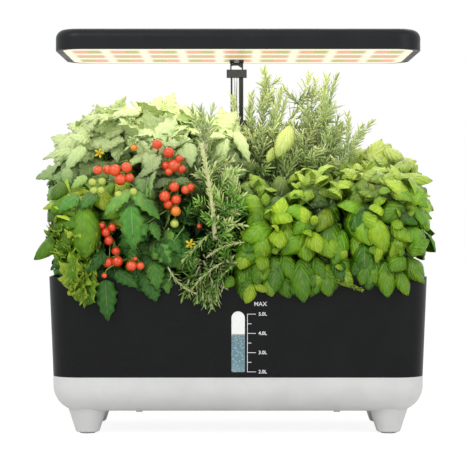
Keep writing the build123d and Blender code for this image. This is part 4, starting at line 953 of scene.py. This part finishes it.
def add_shoot(plant, tip, axis, size, tone):
    """A basil shoot: leaf pairs turned a quarter each, large and drooping below, small at its tip."""
    rng = plant.rng
    side = unit(np.cross(axis, (rng.uniform(-0.6, 0.6), rng.uniform(-1, 1), 0.5)))
    other = np.cross(axis, side)
    ways = (side, other, unit(side + other))
    for k, (share, back, rise, bend) in enumerate(SHOOT_PAIRS):
        for flip in (-1, 1):
            out = ways[k] * flip
            reach = size * share * rng.uniform(0.85, 1.12)
            foot = tip - axis * back + out * 2.5
            aim = unit(out + axis * rise - UP * rng.uniform(0.2, 0.7) * (1 - 0.5 * k))
            face = unit(axis - out * rise * 0.6 + UP * 0.2)
            add_leaf(plant.leaves, "basil", foot, foot + aim * reach, face, reach * rng.uniform(0.68, 0.82),
                     held(tone + 0.14 * k + rng.uniform(-0.16, 0.16)), rng.uniform(0, 6),
                     bend * rng.uniform(0.8, 1.15))
    plant.stalk(tip - axis * 13, 1.1)


def grow_shoots(plant, count):
    """Basil: shoots that open outwards and upwards all over the crown."""
    rng = plant.rng
    for place, out, height in plant.sites(count, 4.0):
        axis = unit(out + UP * 0.35 + np.array([rng.uniform(-0.3, 0.3), rng.uniform(-0.2, 0.2), 0]))
        size = rng.uniform(26.0, 38.0)
        add_shoot(plant, place, axis, size, 0.44 + 0.15 * height + rng.uniform(-0.15, 0.15))


def grow_domed_leaves(plant, count, deep, sizes, tone):
    """Basil: single domed leaves between the shoots."""
    rng = plant.rng
    for place, out, height in plant.sites(count, deep):
        size = rng.uniform(*sizes)
        aim = leaf_aim(plant, out, 0.9, 0.6)
        face = unit(out + UP * 0.45 + np.array([rng.uniform(-0.5, 0.5), 0, rng.uniform(-0.3, 0.3)]))
        foot = place - aim * size * 0.5 - out * size * 0.16
        tip = place + aim * size * 0.5 - out * size * 0.1
        if add_leaf(plant.leaves, "basil", foot, tip, face, size * rng.uniform(0.66, 0.84),
                    held(tone + 0.2 * height + rng.uniform(-0.3, 0.3)), rng.uniform(0, 6),
                    rng.uniform(0.8, 2.0)):
            plant.stalk(foot)


def add_compound_leaf(plant, foot, tip, face, size, tone):
    """A tomato leaf: a midrib with an end leaflet and two pairs beside it; False where it hides fruit."""
    rng = plant.rng
    chord = unit(tip - foot)
    face = unit(face - chord * np.dot(face, chord))
    side = np.cross(face, chord)
    path = arc_path(foot, (foot + tip) / 2 + face * 5, tip, 8)
    end = path[-1] + unit(chord - face * 0.3) * size
    if hides_fruit(path) or not add_leaf(plant.leaves, "tomato", path[-1], end, face, size * 0.78, tone,
                                         rng.uniform(0, 6)):
        return False
    add_tube(plant.stems, path, (0.7, 0.4), sides=5, tone=0.6)
    for share, small in LEAFLET_PAIRS:
        at = path[int(round(share * 7))]
        for way in (-1, 1):
            aim = unit(side * way + chord * rng.uniform(0.25, 0.6) - face * rng.uniform(0.15, 0.5))
            length = size * small * rng.uniform(0.85, 1.1)
            add_leaf(plant.leaves, "tomato", at + aim * 2, at + aim * length, face + side * way * 0.25,
                     length * 0.72, held(tone + rng.uniform(-0.15, 0.15)), rng.uniform(0, 6))
    return True


def grow_compound_leaves(plant, count, deep, tone):
    """Tomato: arching compound leaves all round, and a plain small one where they would hide fruit."""
    rng = plant.rng
    for place, out, height in plant.sites(count, deep):
        length = rng.uniform(26, 40)
        aim, foot = rooted_aim(plant, place, out, length, 0.7)
        face = unit(out + UP * 0.3 + np.array([rng.uniform(-0.5, 0.5), 0, rng.uniform(-0.3, 0.3)]))
        if add_compound_leaf(plant, foot, place - out * 5, face, rng.uniform(26.0, 38.0),
                             held(tone + 0.25 * height + rng.uniform(-0.25, 0.25))):
            plant.stalk(foot, 1.0)
        else:
            small = rng.uniform(16, 24)
            # The small leaf's darker tone is painted shade in the gaps by the fruit.
            add_leaf(plant.leaves, "tomato", place - aim * small - out * 9, place - out * 7, face,
                     small * 0.75, tone * 0.6)


def grow_frilled_leaves(plant, count, deep, tone):
    """Lettuce: small frilled leaves that roll outwards at their ends, with broad smooth ones above."""
    rng = plant.rng
    for place, out, height in plant.sites(count, deep):
        frilled = height < 0.45 + 0.2 * rng.random()
        size = rng.uniform(14, 22) if frilled else rng.uniform(24, 36)
        rise = UP * rng.uniform(-0.8, 0.6)
        aim = unit(out * (0.5, 0.5, 0) + rise + np.array([rng.uniform(-0.8, 0.8), 0, 0]))
        foot = place - aim * size * 0.6 - out * 12
        add_leaf(plant.leaves, "lettuce" if frilled else "basil", foot, place + aim * size * 0.4 - out * 6,
                 unit(out * 0.8 + UP * 0.6), size * (1.0 if frilled else 0.75),
                 held(tone + rng.uniform(-0.4, 0.45)), rng.uniform(0, 6), rng.uniform(0.9, 1.9))


def grow_sprigs(plant, count):
    """Rosemary: stems that fan out from the foot, thick with needles; few of them reach the top."""
    rng = plant.rng
    for place, out, height in plant.sites(count, jitter=18.0):
        if height > HIGH_SPRIGS and rng.random() > 0.25:
            place = place - UP * rng.uniform(35, 75)
        start = plant.root + out * (5, 5, 0) + UP * rng.uniform(0.1, 0.6) * (place[2] - plant.root[2])
        via = start + (place - start) * (rng.uniform(0.1, 0.6), 0.3, rng.uniform(0.4, 0.8))
        path = arc_path(start, via, place, 9)
        if not hides_fruit(path, SPRIG_SPARE):
            tone = rng.uniform(0.1, 0.9)
            add_sprig(plant.leaves, plant.leaves, path, tone, rng, 20.0, bare=0.45, radius=0.9)


def grow_side_sprigs(plant, count, deep=0.0, tones=(0.1, 1.0)):
    """Rosemary: short side sprigs that lean every way and fill the gaps."""
    rng = plant.rng
    for place, out, height in plant.sites(count, deep, jitter=10.0):
        if height > HIGH_SPRIGS and rng.random() > 0.15:
            continue
        rise = UP * rng.uniform(-0.1, 0.9)
        aim = unit(out * 0.5 + rise + np.array([rng.uniform(-1, 1), rng.uniform(-0.4, 0.2), 0]))
        length = rng.uniform(20, 34)
        end = place + aim * length * 0.2 + UP * 3
        path = arc_path(place - aim * length * 0.8 - out * 4, place - aim * length * 0.4, end, 5)
        if not hides_fruit(path, SPRIG_SPARE):
            tone = rng.uniform(*tones)
            add_sprig(plant.leaves, plant.leaves, path, tone, rng, 17.0, bare=0.05, radius=0.8)


def add_fruit(plant, centre, radius, ripeness):
    """One tomato with its green star of sepals and its short stalk."""
    rng = plant.rng
    lean = unit(np.array([rng.uniform(-0.4, 0.4), rng.uniform(-0.1, 0.5), 1.0]))
    turn = np.linspace(0.12, math.pi - 0.06, 11)
    path = [centre - lean * radius * 0.94 * math.cos(t) for t in turn]
    add_tube(plant.fruit, path, [radius * math.sin(t) ** 0.92 for t in turn], sides=16, tone=ripeness)
    crown = centre + lean * radius * 0.95
    side = unit(np.cross(lean, (1.0, 0.2, 0.1)))
    other = np.cross(lean, side)
    for k in range(5):
        out = side * math.cos(k * FIFTH_TURN) + other * math.sin(k * FIFTH_TURN)
        add_needle(plant.stems, crown, unit(out + lean * 0.15), radius * 0.9, 1.6, lean, 0.3)
    return crown


def add_truss(plant, places, depth, ripeness):
    """Fruit at (pixel x, pixel y, radius) places on one branching stalk."""
    centres = [in_view(x, y, depth + plant.rng.uniform(-2.5, 2.5)) for x, y, _ in places]
    hub = np.mean(centres, axis=0) + np.array([0.0, 9.0, 8.0])
    for centre, (_, _, radius) in zip(centres, places):
        crown = add_fruit(plant, centre, radius * 1.03, ripeness + plant.rng.uniform(-0.06, 0.06))
        add_tube(plant.stems, arc_path(crown, crown + UP * 5, hub, 5), (0.5, 0.6), sides=5)
    plant.stalk(hub, 1.0)


def add_flower(plant, centre):
    """A small yellow star flower."""
    for k in range(5):
        turn = k * FIFTH_TURN
        out = np.array([math.cos(turn), -0.35, math.sin(turn)])
        add_needle(plant.petals, centre, unit(out), 6.0, 2.6, np.array([0.0, -1.0, 0.1]), 0.5)
    add_tube(plant.petals, [centre + (0, 1.5, 0), centre + (0, -3.5, 0)], (0.9, 0.5), sides=6)
    plant.stalk(centre + (0, 2, 0), 0.5)


def grow(plant):
    """Grows what the plant's kind bears, as much as the open side of its crown asks for."""
    share = plant.open_area / 10000
    leaves, rng = plant.leaves, plant.rng
    # In each kind the deeper layer gets a darker tone, and basil's leaves over the rim a darker one too:
    # painted shade.
    if plant.kind == "basil":
        grow_main_stems(plant, 4, 16)
        grow_shoots(plant, int(9 * share))
        grow_domed_leaves(plant, int(14 * share), 3.0, (20.0, 34.0), 0.45)
        grow_domed_leaves(plant, int(32 * share), 15.0, (26.0, 46.0), 0.1)
        grow_rim_leaves(plant, 12, lambda foot, tip, face, reach, tone: add_leaf(
            leaves, "basil", foot, tip, face, reach * 0.7, tone * 0.6))
    elif plant.kind == "tomato":
        grow_main_stems(plant, 3, 14)
        grow_compound_leaves(plant, int(28 * share), 6.0, 0.42)
        grow_compound_leaves(plant, int(14 * share), 15.0, 0.2)
        if plant.node != "tomato_rear_3":
            grow_rim_leaves(plant, 7, lambda foot, tip, face, reach, tone: add_leaf(
                leaves, "tomato", foot, tip, face, reach * 0.8, tone))
    elif plant.kind == "lettuce":
        grow_frilled_leaves(plant, int(115 * share), 3.0, 0.6)
        grow_frilled_leaves(plant, int(34 * share), 16.0, 0.1)
        grow_rim_leaves(plant, 20, lambda foot, tip, face, reach, tone: add_leaf(
            leaves, "lettuce", foot, tip, face + (rng.uniform(-0.7, 0.7), 0, rng.uniform(-0.4, 0.6)),
            reach * 0.6, 0.35 + tone * 0.7, tone * 9, 1.8))
    else:
        grow_sprigs(plant, int(20 * share))
        grow_side_sprigs(plant, int(90 * share))
        grow_side_sprigs(plant, int(30 * share), 14.0, (0.0, 0.3))
        if plant.side < 0:
            grow_rim_leaves(plant, 14, lambda foot, tip, face, reach, tone: add_sprig(
                leaves, plant.stems, arc_path(foot - UP * 6, (foot + tip) / 2, tip - UP * 4),
                tone, rng, 15.0))
    grow_low_leaves(plant, 14)


def add_shown(plant):
    """Adds the sprigs, leaves, fruit and flowers that have a place of their own."""
    for (x1, y1), (x2, y2), (x3, y3), depth, tone, needle, radius in SHOWN_SPRIGS.get(plant.node, []):
        path = arc_path(in_view(x1, y1, depth + 8), in_view(x2, y2, depth + 2), in_view(x3, y3, depth), 10)
        add_sprig(plant.leaves, plant.stems, path, tone, plant.rng, needle, radius=radius)
    for kind, table in ((plant.kind, SHOWN_LEAVES), ("basil", BROAD_LEAVES)):
        for x1, y1, x2, y2, width, depth1, depth2, tone in table.get(plant.node, []):
            foot, tip = in_view(x1, y1, depth1), in_view(x2, y2, depth2)
            add_leaf(plant.leaves, kind, foot, tip, TOWARDS_ROOM, width, tone, x1, kept=True)
    for depth, ripeness, places in TRUSSES.get(plant.node, []):
        add_truss(plant, places, depth, ripeness)
    for x, y, depth in FLOWERS.get(plant.node, []):
        add_flower(plant, in_view(x, y, depth))


def add_sponge(plant):
    """The sponge that the plant is rooted in: a slim cone with soft edges."""
    sponge = Growth()
    levels = (0.0, 0.5, 3.0, 12.0, 24.0, 31.0, 33.4, SPONGE_LENGTH)
    widths = (13.4, 14.2, SPONGE_RADIUS, 14.1, 13.4, 12.6, 12.2, 11.6)
    add_tube(sponge, [plant.root - UP * (0.1 + z) for z in levels], widths, sides=28)
    sponge.build(f"grow_sponge_{plant.body[4:]}", SPONGE, plant.body)


def search_tree(triangles):
    """A tree that finds the nearest of these triangles, or the first on a ray."""
    points = [Vector(point) for corners in triangles for point in corners]
    return BVHTree.FromPolygons(points, [(k, k + 1, k + 2) for k in range(0, len(points), 3)])


plants = [Plant(node) for node in sorted(frame["nodes"]) if node.split("_")[0] in LEAVES]
crowns = search_tree(np.concatenate([plant.surface for plant in plants]))
opened = []
for plant in plants:
    for a, b, c in plant.surface:
        across = np.cross(b - a, c - a)
        if looks_out((a + b + c) / 3, unit(across)):
            opened.append((a, b, c))
            plant.open_area += np.linalg.norm(across) / 2
open_sides = search_tree(opened)

for plant in plants:
    grow(plant)
    add_shown(plant)
    plant.finish()
    add_sponge(plant)


# ---------------------------------------------------------------- water and printed scale

def front_face(x, z, proud):
    """A place on the shell's leaning front, in metres, this much proud of it."""
    return Vector((x, SHELL_SEAM_FRONT - WALL_LEAN * (z - SHELL_SEAM_Z) - proud, z)) * MM


def add_mark(points, faces, x1, x2, z1, z2):
    """One printed bar, as a thin closed slip on the shell's front."""
    first = len(points)
    for proud in (INK_BACK, INK_PROUD):
        points += [front_face(x, z, proud) for x, z in ((x1, z1), (x2, z1), (x2, z2), (x1, z2))]
    faces += [tuple(first + k for k in face) for face in (
        (0, 3, 2, 1), (4, 5, 6, 7), (0, 1, 5, 4), (1, 2, 6, 5), (2, 3, 7, 6), (3, 0, 4, 7))]


def add_print(name, mesh):
    """Inks a mesh and makes it a piece of the shell's print."""
    mesh.materials.clear()
    mesh.materials.append(INK)
    made = add_object(name, mesh)
    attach(made, "tank")


def print_word(word, z, size):
    """One printed word beside the marks."""
    text = bpy.data.curves.new("level_word", "FONT")
    text.body, text.size, text.extrude = word, size * MM * WORD_STRETCH, WORD_INK * MM
    text.align_x, text.align_y = "RIGHT", "CENTER"
    text.offset = WORD_BOLD
    holder = add_object("level_word", text)
    holder.location = front_face(SCALE_X + WORD_END, z, WORD_INK)
    holder.rotation_euler = (math.pi / 2 + math.atan(WALL_LEAN), 0, 0)
    bpy.context.view_layer.update()
    mesh = bpy.data.meshes.new_from_object(holder.evaluated_get(bpy.context.evaluated_depsgraph_get()))
    mesh.transform(holder.matrix_world)
    bpy.data.objects.remove(holder)
    add_print("level_word_" + word.replace(".", "_"), mesh)


def print_scale():
    """The litre scale beside the window: an upright line, long marks at each litre, short ones between."""
    points, faces = [], []
    foot_z = SCALE_TOP_Z - 3 * SCALE_STEP
    half = TICK_HEIGHT / 2
    add_mark(points, faces, SCALE_X - half, SCALE_X + half, foot_z - half, SCALE_TOP_Z + half)
    for k in range(7):
        z = SCALE_TOP_Z - k * SCALE_STEP / 2
        length = SHORT_TICK if k % 2 else LONG_TICK
        add_mark(points, faces, SCALE_X + half, SCALE_X + length, z - half, z + half)
    mesh = bpy.data.meshes.new("level_scale_marks")
    mesh.from_pydata(points, [], faces)
    add_print("level_scale_marks", mesh)
    for k in range(4):
        print_word(f"{5 - k}.0L", SCALE_TOP_Z - k * SCALE_STEP, LITRE_WORD)
    print_word("MAX", SCALE_TOP_Z + MAX_WORD_RISE, MAX_WORD)


def fill_water():
    """The water in the inner tank, up to the 4 litre mark."""
    made, tree, shader = start_finish("tank_water", IOR=1.333, Roughness=0.02, Transmission_Weight=1.0)
    place = add_node(tree, "ShaderNodeTexCoord").outputs["Object"]
    swirl = add_noise(tree, place, 30.0, 2.0)
    feed(tree, shader, {
        "Base Color": add_ramp(tree, swirl, [(0.3, "#DCEBF0"), (0.7, "#EEF6F8")]),
        "Normal": add_bump(tree, swirl, 0.1, 0.5)})
    water = Growth()
    sides = 48
    rings = []
    for z, inset in ((WATER_FOOT_Z, 8.0), (WATER_FOOT_Z + 3, 3.0), (WATER_FOOT_Z + 14, 0.6),
                     (WATER_Z - 0.4, 0.0), (WATER_Z, 0.5)):
        ring = []
        for k in range(sides):
            turn = 2 * math.pi * (k + 0.5) / sides
            c, s = math.cos(turn), math.sin(turn)
            ring.append((math.copysign(WATER_HALF_LENGTH - WATER_CORNER, c) + c * (WATER_CORNER - inset),
                         math.copysign(WATER_HALF_DEPTH - WATER_CORNER, s) + s * (WATER_CORNER - inset), z))
        rings.append(ring)
    points = np.array([p for ring in rings for p in ring] + [(0, 0, WATER_FOOT_Z), (0, 0, WATER_Z)])
    faces = grid_faces(len(rings), sides, wrap=True)
    last = (len(rings) - 1) * sides
    faces += [((k + 1) % sides, k, len(points) - 2) for k in range(sides)]
    faces += [(last + k, last + (k + 1) % sides, len(points) - 1) for k in range(sides)]
    water.add(points, faces, np.zeros((len(points), 2)), 0.5)
    water.build("tank_water", made, "tank")


print_scale()
fill_water()


# ---------------------------------------------------------------- studio

def bare_tree(owner):
    """The node tree of a world or a material, emptied."""
    owner.use_nodes = True
    owner.node_tree.nodes.clear()
    return owner.node_tree


def add_lamp(name, place, power, **settings):
    """A soft lamp with an even face."""
    lamp = bpy.data.lights.new(name, "AREA")
    lamp.energy = power
    for setting, value in settings.items():
        setattr(lamp, setting, value)
    holder = add_object(name, lamp)
    holder.location = place
    return holder


def build_studio():
    """White surroundings, a pale floor that keeps the shadow, soft lamps and the camera."""
    world = bpy.data.worlds.new("studio")
    bpy.context.scene.world = world
    tree = bare_tree(world)
    rays = add_node(tree, "ShaderNodeLightPath")
    seen = add_math(tree, "MAXIMUM", rays.outputs["Is Camera Ray"], rays.outputs["Is Glossy Ray"])
    clear = add_math(tree, "MAXIMUM", seen, rays.outputs["Is Transmission Ray"])
    strength = add_range(tree, clear, (0.0, 1.0), (0.62, 1.0))
    light = add_node(tree, "ShaderNodeBackground", {"Color": (1, 1, 1, 1), "Strength": strength})
    add_node(tree, "ShaderNodeOutputWorld", {"Surface": light})

    floor = bpy.data.meshes.new("floor")
    reach = FLOOR_REACH
    floor.from_pydata([(-reach, -reach, 0), (reach, -reach, 0), (reach, reach, 0), (-reach, reach, 0)],
                      [], [(0, 1, 2, 3)])
    material = bpy.data.materials.new("studio_floor")
    tree = bare_tree(material)
    rays = add_node(tree, "ShaderNodeLightPath")
    shaded = add_node(tree, "ShaderNodeBsdfDiffuse", {"Color": (0.88, 0.88, 0.88, 1)})
    white = add_node(tree, "ShaderNodeEmission", {"Color": (1, 1, 1, 1), "Strength": 1.14})
    share = add_math(tree, "MULTIPLY", rays.outputs["Is Camera Ray"], 0.78)
    mixed = add_node(tree, "ShaderNodeMixShader", {"Fac": share, 1: shaded, 2: white})
    add_node(tree, "ShaderNodeOutputMaterial", {"Surface": mixed})
    floor.materials.append(material)
    ground = add_object("studio_floor", floor)

    for name, place, size, power in STUDIO_LAMPS:
        holder = add_lamp(name, place, power, size=size)
        holder.rotation_euler = (Vector(LAMP_AIM) - Vector(place)).to_track_quat("-Z", "Y").to_euler()
    holder = add_lamp("grow_light", GROW_PLACE, GROW_POWER, shape="RECTANGLE", size=GROW_LENGTH,
                      size_y=GROW_DEPTH, color=(1.0, 0.98, 0.93))
    holder.visible_camera = False
    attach(holder, "lamp")

    lens = bpy.data.cameras.new("camera")
    lens.lens, lens.sensor_width, lens.clip_start = CAMERA_LENS, SENSOR_WIDTH, 0.05
    camera = add_object("camera", lens)
    camera.location = Vector(CAMERA_PLACE) * MM
    camera.rotation_euler = (math.radians(90 - CAMERA_DIP), 0, 0)
    bpy.context.scene.camera = camera
    bpy.context.scene.view_settings.view_transform = "Standard"


build_studio()
